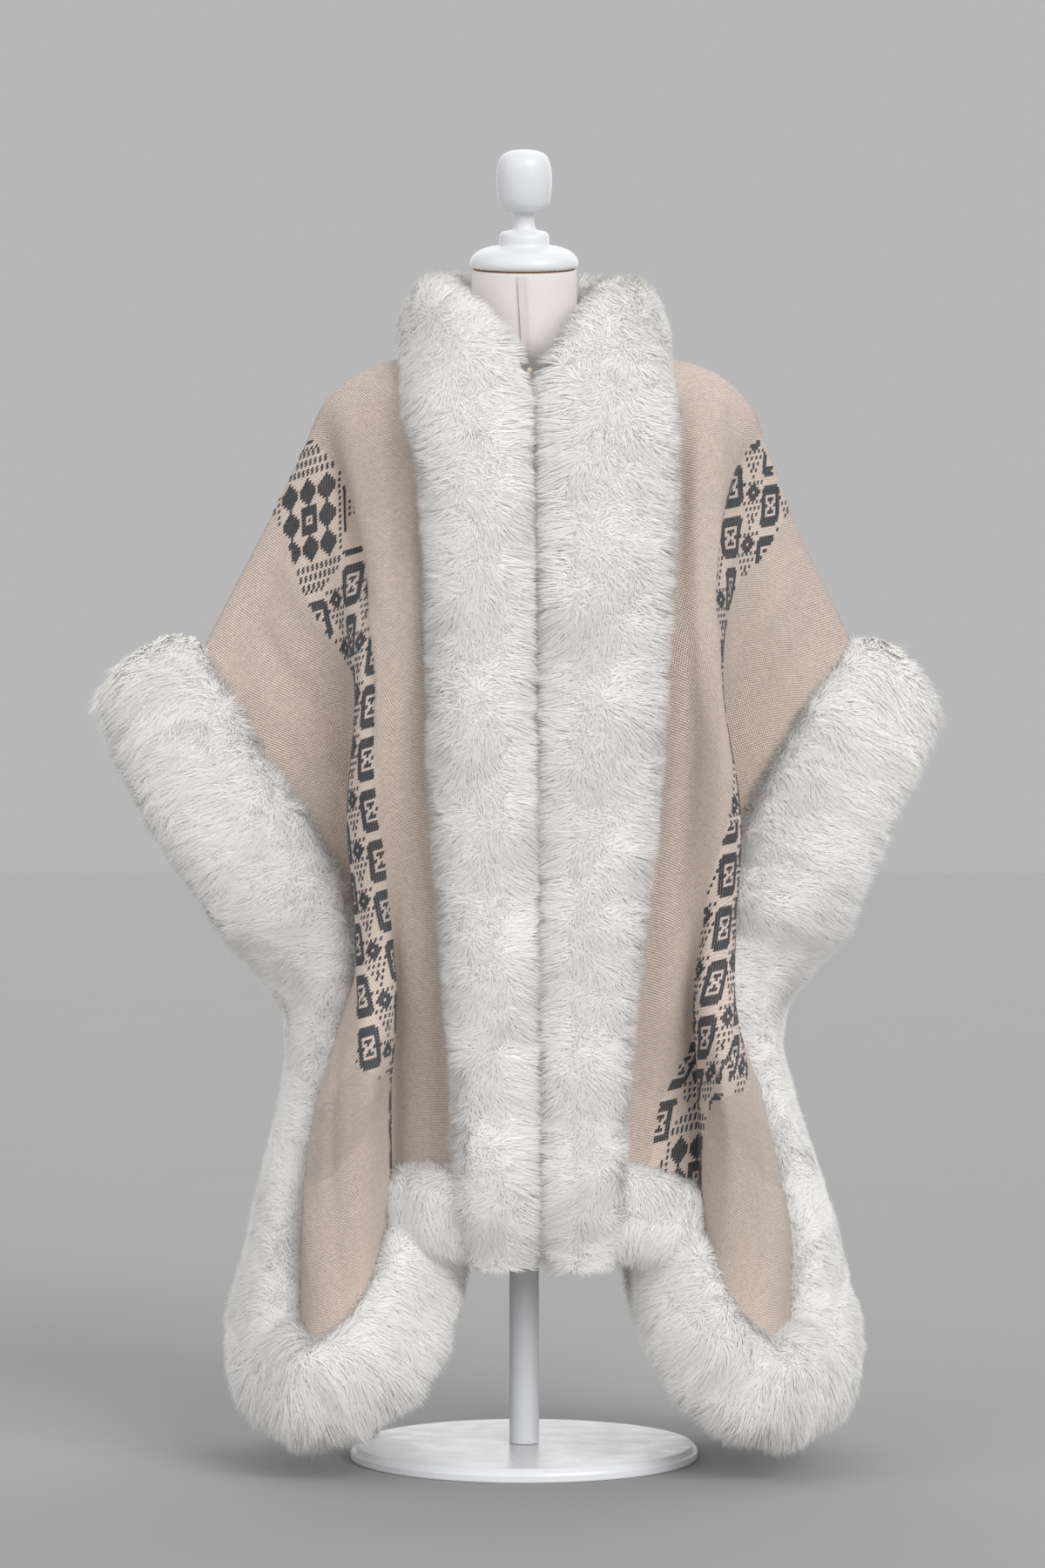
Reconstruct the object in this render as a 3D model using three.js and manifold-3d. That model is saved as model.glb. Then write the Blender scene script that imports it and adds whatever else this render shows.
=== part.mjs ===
// A fur-trimmed woven cape, open down the front, on a limbless dress form that stands on a round base.
// Millimetres, +Z up, front towards -Y. The origin is the centre of the base's underside.
//
// The cloth hangs from a line that runs along each shoulder and on down where an arm would be. It is
// described by warp lines: each starts on that line and falls to the hem, in front and behind. Fur strips
// follow the cloth's edges, and the cloth is trimmed back to the strips it is sewn to.
import * as THREE from "three";
import { mergeVertices } from "three/addons/utils/BufferGeometryUtils.js";
import Module from "manifold-3d";

const wasm = await Module();
wasm.setup();

// ---------------------------------------------------------------- driving dimensions
const CLOTH = 3; // thickness of the woven cloth
const GAP = 0.5; // clearance between sewn pieces
const CAPE_CENTRE_X = 13; // the cape sits a little to the wearer's left on the form
const RIDGE = 0.02; // softness of the fold over the shoulder line, as a share of the drop

const NECK_TOP_Z = 1199;
const NECK_TOP_RADIUS = 53;
const NECK_LEAN = 0.2; // fall of the neck's top plane towards the front, per mm of depth
const FORM_BOTTOM_Z = 430;
const POLE_RADIUS = 15;
const BASE_RADIUS = 175;
const BASE_THICKNESS = 14;

const FUR_SQUARENESS = 2.4; // exponent of the strips' rounded section; 2 is an ellipse
const FUR_AROUND = 10; // facets round a strip
const COLLAR_RINGS = 26; // rings along the collar
const FRONT_STRIP_RINGS = 16; // rings along each front strip
const LEAST_ADVANCE = 0.5; // least step from one ring of a strip to the next, anywhere round it
const CLOTH_INSET = 12; // how far the cloth runs into a hem strip

const FORM_AROUND = 32; // facets round the dress form and its neck plate
const TURNED_AROUND = 24; // facets round the neck cap and the pole
const BASE_AROUND = 48; // facets round the base

// ---------------------------------------------------------------- the draped cloth
// Shares of the drop from the shoulder line to the hem at which the warp lines are given.
const STATIONS = [0.06, 0.15, 0.33, 0.5, 0.7, 0.85, 1];

// One row for each warp line, from the front edge to the side edge. topX, topY and topZ are on the
// shoulder line, hemZ is the height of the hem, and x and y hold its place at each station in front.
const WARP_LINES = {
  left: [
    { name: "front_edge", topX: -92, topY: 14, topZ: 1112, hemZ: 300,
      x: [-80, -64, -57, -55, -48, -43, -38], y: [-72, -96, -138, -141, -140, -139, -138] },
    { name: "collar_edge", topX: -118, topY: 2, topZ: 1111, hemZ: 300,
      x: [-109, -97, -87, -84, -77, -71, -65], y: [-68, -94, -138, -140, -138, -136, -134] },
    { name: "chest", topX: -160, topY: 0, topZ: 1098, hemZ: 297,
      x: [-150, -135, -121, -118, -115, -111, -110], y: [-56, -98, -147, -142, -126, -118, -112] },
    { name: "shoulder", topX: -200, topY: 0, topZ: 1067, hemZ: 279,
      x: [-189, -173, -152, -146, -128, -130, -129], y: [-34, -62, -138, -156, -118, -104, -98] },
    { name: "upper_arm", topX: -223, topY: 0, topZ: 1018, hemZ: 243,
      x: [-208, -189, -167, -171, -128, -133, -133], y: [-26, -55, -104, -128, -142, -130, -122] },
    { name: "band", topX: -250, topY: 0, topZ: 961, hemZ: 187,
      x: [-233, -209, -153, -170, -150, -151, -146], y: [-22, -50, -66, -80, -164, -160, -154] },
    { name: "arm", topX: -274, topY: 0, topZ: 914, hemZ: 146,
      x: [-255, -228, -146, -160, -184, -184, -173], y: [-20, -45, -48, -56, -150, -166, -172] },
    { name: "cuff", topX: -298, topY: 0, topZ: 868, hemZ: 132,
      x: [-278, -250, -165, -168, -204, -212, -204], y: [-18, -40, -48, -54, -112, -140, -158] },
    { name: "side_edge", topX: -327, topY: 0, topZ: 811, hemZ: 148,
      x: [-307, -278, -193, -185, -203, -221, -223], y: [-15, -34, -55, -62, -74, -92, -112] },
  ],
  right: [
    { name: "front_edge", topX: 118, topY: 14, topZ: 1112, hemZ: 300,
      x: [112, 104, 98, 94, 82, 72, 68], y: [-72, -96, -138, -141, -140, -139, -138] },
    { name: "collar_edge", topX: 150, topY: 2, topZ: 1109, hemZ: 300,
      x: [146, 141, 133, 128, 113, 102, 97], y: [-68, -94, -138, -140, -138, -136, -134] },
    { name: "chest", topX: 194, topY: 0, topZ: 1094, hemZ: 286,
      x: [187, 176, 167, 164, 152, 144, 144], y: [-56, -98, -147, -142, -126, -118, -112] },
    { name: "shoulder", topX: 230, topY: 0, topZ: 1060, hemZ: 258,
      x: [220, 206, 191, 195, 167, 170, 170], y: [-34, -62, -138, -156, -118, -104, -98] },
    { name: "upper_arm", topX: 246, topY: 0, topZ: 1018, hemZ: 232,
      x: [235, 215, 194, 212, 171, 174, 178], y: [-26, -55, -104, -128, -142, -130, -122] },
    { name: "band", topX: 267, topY: 0, topZ: 960, hemZ: 187,
      x: [257, 231, 182, 210, 193, 200, 190], y: [-22, -50, -66, -80, -164, -160, -154] },
    { name: "arm", topX: 286, topY: 0, topZ: 915, hemZ: 146,
      x: [276, 249, 172, 194, 221, 229, 215], y: [-20, -45, -48, -56, -150, -166, -172] },
    { name: "cuff", topX: 308, topY: 0, topZ: 871, hemZ: 132,
      x: [292, 260, 188, 191, 238, 254, 243], y: [-18, -40, -48, -54, -112, -140, -158] },
    { name: "side_edge", topX: 334, topY: 0, topZ: 815, hemZ: 148,
      x: [311, 271, 214, 205, 234, 264, 264], y: [-15, -34, -55, -62, -74, -92, -112] },
  ],
};

// Depth of the same warp lines behind, at each station, from the front edge's line to the side edge's.
const BACK_DEPTHS = [
  [92, 116, 124, 122, 124, 128, 132],
  [80, 112, 123, 120, 122, 126, 130],
  [60, 98, 124, 130, 134, 136, 138],
  [40, 70, 114, 134, 132, 126, 124],
  [30, 58, 92, 112, 122, 118, 116],
  [26, 52, 72, 84, 118, 126, 124],
  [22, 46, 56, 66, 110, 134, 142],
  [20, 40, 52, 58, 92, 122, 138],
  [16, 34, 50, 58, 70, 88, 104],
];
const BACK_WIDTH = 0.98; // width of the back against the front
// The warp line down the middle of the back, from the back of the neck.
const BACK_CENTRE = { topY: 92, topZ: 1112, hemZ: 300, y: [104, 118, 125, 124, 126, 130, 134] };

const LAST = WARP_LINES.left.length - 1; // index of the side edge's warp line
const BACK_LINES = 2 * LAST + 2; // index of the last warp line across the back

// Cubic through (keys[i], values[i]) with finite-difference slopes.
function spline(keys, values, at) {
  const last = keys.length - 1;
  let i = 0;
  while (i < last - 1 && at > keys[i + 1]) i++;
  const slope = (k) => {
    const a = Math.max(k - 1, 0);
    const b = Math.min(k + 1, last);
    return (values[b] - values[a]) / (keys[b] - keys[a]);
  };
  const h = keys[i + 1] - keys[i];
  const t = Math.min(Math.max((at - keys[i]) / h, 0), 1);
  const t2 = t * t;
  const t3 = t2 * t;
  return (
    (2 * t3 - 3 * t2 + 1) * values[i] +
    (t3 - 2 * t2 + t) * h * slope(i) +
    (3 * t2 - 2 * t3) * values[i + 1] +
    (t3 - t2) * h * slope(i + 1)
  );
}

const FALL_KEYS = [...STATIONS.map((s) => -s).reverse(), 0, ...STATIONS];

// Share of the drop used up at fall v, rounded over the shoulder line.
function dropShare(v) {
  return (Math.hypot(v, RIDGE) - RIDGE) / (Math.hypot(1, RIDGE) - RIDGE);
}

// A point of one warp line: fall v runs from -1 at the back hem, over the shoulder at 0, to 1 in front.
function linePoint(side, index, v) {
  const line = WARP_LINES[side][index];
  const middle = CAPE_CENTRE_X;
  const behindX = line.x.map((x) => middle + (x - middle) * BACK_WIDTH).reverse();
  const behindY = [...BACK_DEPTHS[index]].reverse();
  return [
    spline(FALL_KEYS, [...behindX, line.topX, ...line.x], v),
    spline(FALL_KEYS, [...behindY, line.topY, ...line.y], v),
    line.topZ - (line.topZ - line.hemZ) * dropShare(v),
  ];
}

function backCentrePoint(v) {
  const y = spline([0, ...STATIONS], [BACK_CENTRE.topY, ...BACK_CENTRE.y], v);
  return [CAPE_CENTRE_X, y, BACK_CENTRE.topZ - (BACK_CENTRE.topZ - BACK_CENTRE.hemZ) * dropShare(v)];
}

// A point across several warp lines, by a spline through one point of each.
function across(points, at) {
  const keys = points.map((_, i) => i);
  return new THREE.Vector3(...[0, 1, 2].map((axis) => spline(keys, points.map((p) => p[axis]), at)));
}

// Front panel: line 0 is the front edge and LAST the side edge; v runs from 0 to 1.
function frontPoint(side) {
  return (line, v) => across(WARP_LINES[side].map((_, i) => linePoint(side, i, v)), line);
}

// Back panel: line 0 is the left side edge and BACK_LINES the right one; v runs from 0 to 1.
function backPoint(line, v) {
  const left = WARP_LINES.left.map((_, i) => linePoint("left", i, -v)).reverse();
  const right = WARP_LINES.right.map((_, i) => linePoint("right", i, -v));
  return across([...left, backCentrePoint(v), ...right], line);
}

// ---------------------------------------------------------------- solids
const STEP = 1e-3;
const SLIVER = 0.06; // cuts closer together than this are joined

// Outward unit normal of a sheet; turn is 1 or -1, whichever makes it face away from the form.
function sheetNormal(point, line, v, turn) {
  const along = point(line + STEP, v).sub(point(line - STEP, v));
  const down = point(line, v + STEP).sub(point(line, v - STEP));
  return along.cross(down).normalize().multiplyScalar(turn);
}

// A closed wall of even thickness on the inner side of a sheet, with a vertex at each line and fall.
function wallGeometry(point, lines, falls, turn, thickness) {
  const vertices = [];
  const faces = [];
  const cols = lines.length - 1;
  const rows = falls.length - 1;
  const at = (layer, i, j) => (layer * (cols + 1) + i) * (rows + 1) + j;
  const within = (value, list) => THREE.MathUtils.clamp(value, list[0] + STEP, list.at(-1) - STEP);
  for (const layer of [0, 1]) {
    for (const line of lines) {
      for (const fall of falls) {
        const normal = sheetNormal(point, within(line, lines), within(fall, falls), turn);
        vertices.push(...point(line, fall).addScaledVector(normal, -thickness * layer));
      }
    }
  }
  const quad = (a, b, c, d) => faces.push(...(turn > 0 ? [a, b, c, a, c, d] : [a, c, b, a, d, c]));
  const place = (n) => new THREE.Vector3(...vertices.slice(3 * n, 3 * n + 3));
  for (let i = 0; i < cols; i++) {
    for (let j = 0; j < rows; j++) {
      // Each cell is split along its shorter diagonal, in both skins alike.
      const [a, b, c, d] = [at(0, i, j), at(0, i + 1, j), at(0, i + 1, j + 1), at(0, i, j + 1)];
      const inner = (rows + 1) * (cols + 1);
      const [p, q, r, s] = [a, b, c, d].map(place);
      if (p.distanceTo(r) < q.distanceTo(s)) {
        quad(a, b, c, d);
        quad(a + inner, d + inner, c + inner, b + inner);
      } else {
        quad(b, c, d, a);
        quad(b + inner, a + inner, d + inner, c + inner);
      }
    }
  }
  for (let i = 0; i < cols; i++) {
    quad(at(0, i + 1, 0), at(0, i, 0), at(1, i, 0), at(1, i + 1, 0));
    quad(at(0, i, rows), at(0, i + 1, rows), at(1, i + 1, rows), at(1, i, rows));
  }
  for (let j = 0; j < rows; j++) {
    quad(at(0, 0, j), at(0, 0, j + 1), at(1, 0, j + 1), at(1, 0, j));
    quad(at(0, cols, j + 1), at(0, cols, j), at(1, cols, j), at(1, cols, j + 1));
  }
  return indexed(vertices, faces);
}

function indexed(vertices, faces) {
  const geometry = new THREE.BufferGeometry();
  geometry.setAttribute("position", new THREE.Float32BufferAttribute(vertices, 3));
  geometry.setIndex(faces);
  return geometry;
}

// A mix of a ring's half-axes, which are wide and thick, for each facet of its rounded outline.
function aroundRing({ wide, thick }, power) {
  const bent = (value) => Math.sign(value) * Math.abs(value) ** power;
  return Array.from({ length: FUR_AROUND }, (_, k) => {
    const angle = (2 * Math.PI * k) / FUR_AROUND;
    return wide.clone().multiplyScalar(bent(Math.cos(angle))).addScaledVector(thick, bent(Math.sin(angle)));
  });
}

function ringOutline(ring) {
  return aroundRing(ring, 2 / FUR_SQUARENESS).map((offset) => offset.add(ring.centre));
}

// The ways out of a ring's outline, square to it.
function ringNormals({ wide, thick }) {
  const flattened = (axis) => axis.clone().divideScalar(axis.lengthSq());
  const axes = { wide: flattened(wide), thick: flattened(thick) };
  return aroundRing(axes, 2 - 2 / FUR_SQUARENESS).map((normal) => normal.normalize());
}

// A closed roll through rings, each joined to the next point by point, with its skin moved out by swell.
function rollGeometry(rings, swell = 0) {
  const outlines = rings.map(ringOutline);
  // On the inside of a tight bend a point would fall behind the one before it, so it is held forward.
  outlines.slice(1).forEach((outline, i) => {
    const forward = rings[i + 1].centre.clone().sub(rings[i].centre).normalize();
    outline.forEach((point, k) => {
      const advance = point.clone().sub(outlines[i][k]).dot(forward);
      if (advance < LEAST_ADVANCE) point.addScaledVector(forward, LEAST_ADVANCE - advance);
    });
  });
  const last = rings.length - 1;
  rings.forEach((ring, i) => {
    const shift = new THREE.Vector3();
    if (i === 0) shift.copy(ring.centre).sub(rings[1].centre).setLength(swell);
    if (i === last) shift.copy(ring.centre).sub(rings[last - 1].centre).setLength(swell);
    ringNormals(ring).forEach((normal, k) => outlines[i][k].addScaledVector(normal, swell).add(shift));
  });
  const tips = [outlines[0], outlines.at(-1)].map((outline) => {
    return outline.reduce((sum, point) => sum.add(point), new THREE.Vector3()).divideScalar(FUR_AROUND);
  });
  return skinGeometry(outlines, tips);
}

// A closed skin over outlines of equal length, each joined to the next, with a tip at either end.
function skinGeometry(outlines, tips) {
  const around = outlines[0].length;
  const last = (outlines.length - 1) * around;
  const [firstTip, lastTip] = [last + around, last + around + 1];
  const faces = [];
  for (let k = 0; k < around; k++) {
    const next = (k + 1) % around;
    for (let r = 0; r < last; r += around) {
      faces.push(r + k, r + next, r + around + next, r + k, r + around + next, r + around + k);
    }
    faces.push(firstTip, next, k, lastTip, last + k, last + next);
  }
  return indexed([...outlines.flat(), ...tips].flatMap((point) => [...point]), faces);
}

// A closed manifold solid of a geometry, turned to face out.
function solidOf(geometry) {
  const bare = geometry.clone();
  bare.deleteAttribute("normal");
  bare.deleteAttribute("uv");
  const merged = mergeVertices(bare, 1e-3);
  const triVerts = new Uint32Array(merged.index.array);
  const make = () =>
    new wasm.Manifold(
      new wasm.Mesh({ numProp: 3, vertProperties: merged.attributes.position.array, triVerts }),
    );
  let solid = make();
  if (solid.volume() < 0) {
    for (let i = 0; i < triVerts.length; i += 3) {
      [triVerts[i + 1], triVerts[i + 2]] = [triVerts[i + 2], triVerts[i + 1]];
    }
    solid = make();
  }
  return solid;
}

// The largest body of a solid, as a geometry.
function geometryOf(solid) {
  const bodies = solid.simplify(SLIVER).decompose().sort((a, b) => b.volume() - a.volume());
  const mesh = bodies[0].getMesh();
  const geometry = new THREE.BufferGeometry();
  geometry.setAttribute("position", new THREE.BufferAttribute(new Float32Array(mesh.vertProperties), 3));
  geometry.setIndex(new THREE.BufferAttribute(new Uint32Array(mesh.triVerts), 1));
  return geometry;
}

// ---------------------------------------------------------------- fur strips
// The long trim that runs up the left front edge, round the neck and down the right front edge. Each row
// is a section of it: its centre, half-width, half-thickness, and the way its pile faces.
const TRIM = [
  { x: -27, y: -155, z: 207, wide: 26, thick: 18, face: [0, -1, 0] },
  { x: -27, y: -155, z: 222, wide: 39, thick: 28, face: [0, -1, 0] },
  { x: -26, y: -156, z: 262, wide: 42, thick: 31, face: [0, -1, 0] },
  { x: -26, y: -158, z: 340, wide: 41, thick: 30, face: [0, -1, 0] },
  { x: -31, y: -160, z: 510, wide: 46, thick: 30, face: [0, -1, 0] },
  { x: -37, y: -162, z: 680, wide: 50, thick: 30, face: [0, -1, 0] },
  { x: -40, y: -161, z: 849, wide: 51, thick: 30, face: [0, -1, 0] },
  { x: -42, y: -152, z: 934, wide: 52, thick: 30, face: [0, -1, 0.15] },
  { x: -45, y: -138, z: 1010, wide: 57, thick: 29, face: [0, -0.95, 0.3] },
  { x: -53, y: -110, z: 1064, wide: 64, thick: 29, face: [-0.15, -0.88, 0.45] },
  { x: -78, y: -68, z: 1117, wide: 58, thick: 31, face: [-0.55, -0.6, 0.4] },
  { x: -93, y: -18, z: 1145, wide: 49, thick: 33, face: [-0.93, -0.15, 0.3] },
  { x: -84, y: 38, z: 1154, wide: 48, thick: 33, face: [-0.85, 0.4, 0.3] },
  { x: -48, y: 80, z: 1157, wide: 48, thick: 33, face: [-0.5, 0.8, 0.3] },
  { x: 4, y: 95, z: 1158, wide: 48, thick: 33, face: [0, 0.95, 0.3] },
  { x: 58, y: 82, z: 1156, wide: 48, thick: 34, face: [0.5, 0.8, 0.3] },
  { x: 96, y: 40, z: 1149, wide: 49, thick: 37, face: [0.85, 0.4, 0.3] },
  { x: 106, y: -18, z: 1139, wide: 52, thick: 40, face: [0.93, -0.15, 0.3] },
  { x: 95, y: -72, z: 1112, wide: 62, thick: 37, face: [0.55, -0.6, 0.4] },
  { x: 80, y: -111, z: 1064, wide: 68, thick: 32, face: [0.15, -0.88, 0.45] },
  { x: 78, y: -138, z: 1010, wide: 66, thick: 29, face: [0, -0.95, 0.3] },
  { x: 77, y: -152, z: 934, wide: 64, thick: 30, face: [0, -1, 0.15] },
  { x: 75, y: -161, z: 849, wide: 61, thick: 30, face: [0, -1, 0] },
  { x: 71, y: -162, z: 680, wide: 56, thick: 30, face: [0, -1, 0] },
  { x: 63, y: -160, z: 510, wide: 48, thick: 30, face: [0, -1, 0] },
  { x: 57, y: -158, z: 340, wide: 41, thick: 30, face: [0, -1, 0] },
  { x: 58, y: -156, z: 262, wide: 42, thick: 31, face: [0, -1, 0] },
  { x: 59, y: -155, z: 222, wide: 40, thick: 28, face: [0, -1, 0] },
  { x: 60, y: -155, z: 207, wide: 26, thick: 18, face: [0, -1, 0] },
];
const COLLAR_SEAMS = [8, 20]; // rows of the trim where the collar meets the front strips

// Rings of the trim from one of its rows to another, with a spline along its length.
function trimRings(from, to, count) {
  const centres = TRIM.map((row) => [row.x, row.y, row.z]);
  const keys = [0];
  centres.slice(1).forEach((centre, i) => {
    keys.push(keys[i] + Math.hypot(...centre.map((value, axis) => value - centres[i][axis])));
  });
  const value = (pick, at) => spline(keys, TRIM.map(pick), at);
  const component = (rows, at, axis) => spline(keys, rows.map((row) => row[axis]), at);
  const vector = (rows, at) => new THREE.Vector3(...[0, 1, 2].map((axis) => component(rows, at, axis)));
  const faces = TRIM.map((row) => row.face);
  const place = (at) => vector(centres, THREE.MathUtils.clamp(at, 0, keys.at(-1)));
  return Array.from({ length: count + 1 }, (_, i) => {
    const at = THREE.MathUtils.lerp(keys[from], keys[to], i / count);
    const tangent = place(at + 1).sub(place(at - 1)).normalize();
    const wide = vector(faces, at).cross(tangent).normalize();
    const thick = tangent.clone().cross(wide).normalize();
    return {
      centre: place(at),
      wide: wide.multiplyScalar(value((row) => row.wide, at)),
      thick: thick.multiplyScalar(value((row) => row.thick, at)),
    };
  });
}

// Half-width and half-thickness of the strips along the bottom and at a corner.
const HEM = { wide: 51, thick: 33 };
const CORNER = { wide: 58, thick: 38 };

// The way a strip reaches away from the cloth: sideways from the cape's middle, outwards in depth (to the
// front in front, to the back behind) and up. By warp line along the bottom, and by fall down the side.
const BOTTOM_OUT = {
  keys: [0, 2, 3, 3.6, 4.3, 5, 6, 7, 8],
  sideways: [0, 0, -0.25, -0.6, -0.7, -0.65, -0.35, 0.1, 0.35],
  outwards: [0, 0, -0.1, -0.3, -0.3, -0.2, 0, 0.05, -0.1],
  up: [-1, -1, -0.97, -0.74, -0.64, -0.73, -0.94, -1, -0.93],
};
const SIDE_SIZE = {
  keys: [0, 0.15, 0.35, 0.5, 0.65, 1],
  wide: [65, 72, 72, 64, 56, 58],
  thick: [42, 42, 41, 38, 36, 38],
};
const SIDE_OUT = {
  left: {
    keys: [0, 0.15, 0.33, 0.42, 0.5, 0.6, 0.75, 0.88, 1],
    sideways: [0.83, 0.81, 0.8, 0.62, 0.35, 0.2, 0.2, 0.3, 0.55],
    outwards: [0, 0.05, -0.15, -0.6, -0.85, -0.95, -0.97, -0.93, -0.78],
    up: [-0.55, -0.58, -0.56, -0.5, -0.4, -0.2, 0, 0, -0.2],
  },
  right: {
    keys: [0, 0.15, 0.33, 0.42, 0.5, 0.6, 0.75, 0.88, 1],
    sideways: [0.58, 0.69, 0.73, 0.58, 0.35, 0.15, 0.1, 0.2, 0.5],
    outwards: [0, 0.05, -0.15, -0.6, -0.85, -0.95, -0.97, -0.93, -0.78],
    up: [-0.81, -0.73, -0.65, -0.54, -0.4, -0.2, 0, 0, -0.2],
  },
};

function outFrom(table, at, side, depth) {
  const value = (name) => spline(table.keys, table[name], at);
  return new THREE.Vector3(side * value("sideways"), depth * value("outwards"), value("up")).normalize();
}

const mixSize = (a, b, t) => ({
  wide: THREE.MathUtils.lerp(a.wide, b.wide, t),
  thick: THREE.MathUtils.lerp(a.thick, b.thick, t),
});

const CORNER_TURNS = [0, 0.25, 0.5, 0.75, 1]; // shares of a corner's turn at which it has a ring
const CORNER_SWING = 3; // radius of the inner rim's turn at a corner
const CORNER_LINES = 0.4; // the bottom's last ring is this many warp lines before the corner
const CORNER_FALL = 0.05; // and the side's first ring this share of the fall above it

// One quarter of the edge, from the middle of the cape's bottom out to a corner and up to the arm's end.
// Each stop is a point of the cloth's edge, the way out from it, and the strip's size there.
function quarterStops({ edge, side, depth, from, bottomCount, sideCount }) {
  const stops = [];
  for (let i = 0; i < bottomCount; i++) {
    const line = THREE.MathUtils.lerp(from, LAST - CORNER_LINES, i / (bottomCount - 1));
    const size = mixSize(HEM, CORNER, THREE.MathUtils.smoothstep(line, 3, 7));
    stops.push({ edge: edge(line, 1), out: outFrom(BOTTOM_OUT, line, side, depth), size });
  }
  const down = outFrom(BOTTOM_OUT, LAST, side, depth);
  const sideOut = SIDE_OUT[side < 0 ? "left" : "right"];
  const away = outFrom(sideOut, 1, side, depth);
  // At the corner the strip swings about one point of the cloth, so that its inner rim doesn't cross itself.
  const hub = edge(LAST, 1).addScaledVector(down.clone().add(away).normalize(), -CLOTH_INSET);
  for (const turn of CORNER_TURNS) {
    const out = down.clone().lerp(away, turn).normalize();
    stops.push({ edge: hub.clone().addScaledVector(out, CLOTH_INSET + CORNER_SWING), out, size: CORNER });
  }
  for (let i = 0; i < sideCount; i++) {
    const fall = THREE.MathUtils.lerp(1 - CORNER_FALL, 0, i / (sideCount - 1));
    const wide = spline(SIDE_SIZE.keys, SIDE_SIZE.wide, fall);
    const thick = spline(SIDE_SIZE.keys, SIDE_SIZE.thick, fall);
    stops.push({ edge: edge(LAST, fall), out: outFrom(sideOut, fall, side, depth), size: { wide, thick } });
  }
  return stops;
}

// Rings of a strip along stops.
function sewnRings(stops) {
  const centres = stops.map(({ edge, out, size }) => {
    return edge.clone().addScaledVector(out, size.wide - CLOTH_INSET);
  });
  return stops.map(({ out, size }, i) => {
    const after = centres[Math.min(i + 1, centres.length - 1)];
    const tangent = after.clone().sub(centres[Math.max(i - 1, 0)]).normalize();
    const wide = out.clone().addScaledVector(tangent, -out.dot(tangent)).normalize();
    return {
      centre: centres[i],
      thick: tangent.clone().cross(wide).multiplyScalar(size.thick),
      wide: wide.multiplyScalar(size.wide),
    };
  });
}

// ---------------------------------------------------------------- the sheets
const SHEETS = {
  front_left: { point: frontPoint("left"), lines: LAST, turn: 1 },
  front_right: { point: frontPoint("right"), lines: LAST, turn: -1 },
  back: { point: backPoint, lines: BACK_LINES, turn: 1 },
};

// ---------------------------------------------------------------- the dress form
// One row for each section of the form: half-width, and depth to the front and to the back.
const FORM_SECTIONS = [
  { z: FORM_BOTTOM_Z, half: 146, front: 92, back: 100 },
  { z: 442, half: 152, front: 98, back: 106 },
  { z: 510, half: 156, front: 101, back: 110 },
  { z: 570, half: 152, front: 98, back: 103 },
  { z: 625, half: 140, front: 92, back: 92 },
  { z: 680, half: 126, front: 86, back: 80 },
  { z: 740, half: 132, front: 92, back: 82 },
  { z: 800, half: 146, front: 106, back: 90 },
  { z: 850, half: 155, front: 118, back: 97 },
  { z: 892, half: 161, front: 122, back: 102 },
  { z: 935, half: 166, front: 110, back: 105 },
  { z: 975, half: 174, front: 90, back: 101 },
  { z: 1005, half: 182, front: 74, back: 91 },
  { z: 1030, half: 188, front: 58, back: 76 },
  { z: 1049, half: 187, front: 46, back: 62 },
  { z: 1065, half: 176, front: 40, back: 53 },
  { z: 1079, half: 154, front: 39, back: 50 },
  { z: 1091, half: 128, front: 41, back: 50 },
  { z: 1100, half: 101, front: 45, back: 52 },
  { z: 1109, half: 79, front: 50, back: 54 },
  { z: 1121, half: 63, front: 53, back: 55 },
  { z: 1146, half: 55, front: 53, back: 53 },
  { z: NECK_TOP_Z, half: NECK_TOP_RADIUS, front: NECK_TOP_RADIUS, back: NECK_TOP_RADIUS },
];
const NECK_BASE_Z = 1100; // above this the sections lean with the neck

// Height of the form's skin at depth y, in the section nominally at z.
const leaned = (z, y) =>
  z + y * NECK_LEAN * THREE.MathUtils.smoothstep(z, NECK_BASE_Z, NECK_TOP_Z);

function formPoint(section, angle, swell) {
  const x = (section.half + swell) * Math.cos(angle);
  const depth = angle > Math.PI ? section.front : section.back;
  const y = (depth + swell) * Math.sin(angle);
  return new THREE.Vector3(x, y, leaned(section.z, y) + swell);
}

// The form's skin, moved out by swell and closed at the top and bottom.
function formGeometry(swell = 0) {
  const angles = Array.from({ length: FORM_AROUND }, (_, k) => (2 * Math.PI * k) / FORM_AROUND);
  const outlines = FORM_SECTIONS.map((section) => angles.map((angle) => formPoint(section, angle, swell)));
  const tips = [new THREE.Vector3(0, 0, FORM_BOTTOM_Z), new THREE.Vector3(0, 0, NECK_TOP_Z + swell)];
  return skinGeometry(outlines, tips);
}

// Turned neck cap: radius and height above the neck's top, from the rim to the tip of the knob.
const CAP_PROFILE = [
  [0, 2], [53.5, 2], [54.5, 3.5], [54.5, 9], [52, 15], [45, 20], [35, 23], [26, 24],
  [25.2, 26], [25.2, 34], [22.5, 37.5], [14.5, 39], [11, 41.5], [10, 46], [10, 54], [11.5, 58],
  [20, 59], [21, 61.5], [24.5, 65], [27, 75], [28, 88], [27, 101], [24, 111], [17, 117.5], [0, 120],
];
const PLATE_PROFILE = [[0, 0.3], [51.5, 0.3], [51.5, 1.7], [0, 1.7]];
const BASE_PROFILE = [
  [0, 0], [BASE_RADIUS - 2, 0], [BASE_RADIUS, 2], [BASE_RADIUS, 7],
  [BASE_RADIUS - 5, BASE_THICKNESS], [0, BASE_THICKNESS],
];

function turned(profile, segments) {
  return new THREE.LatheGeometry(profile.map(([r, h]) => new THREE.Vector2(r, h)), segments);
}

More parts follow.
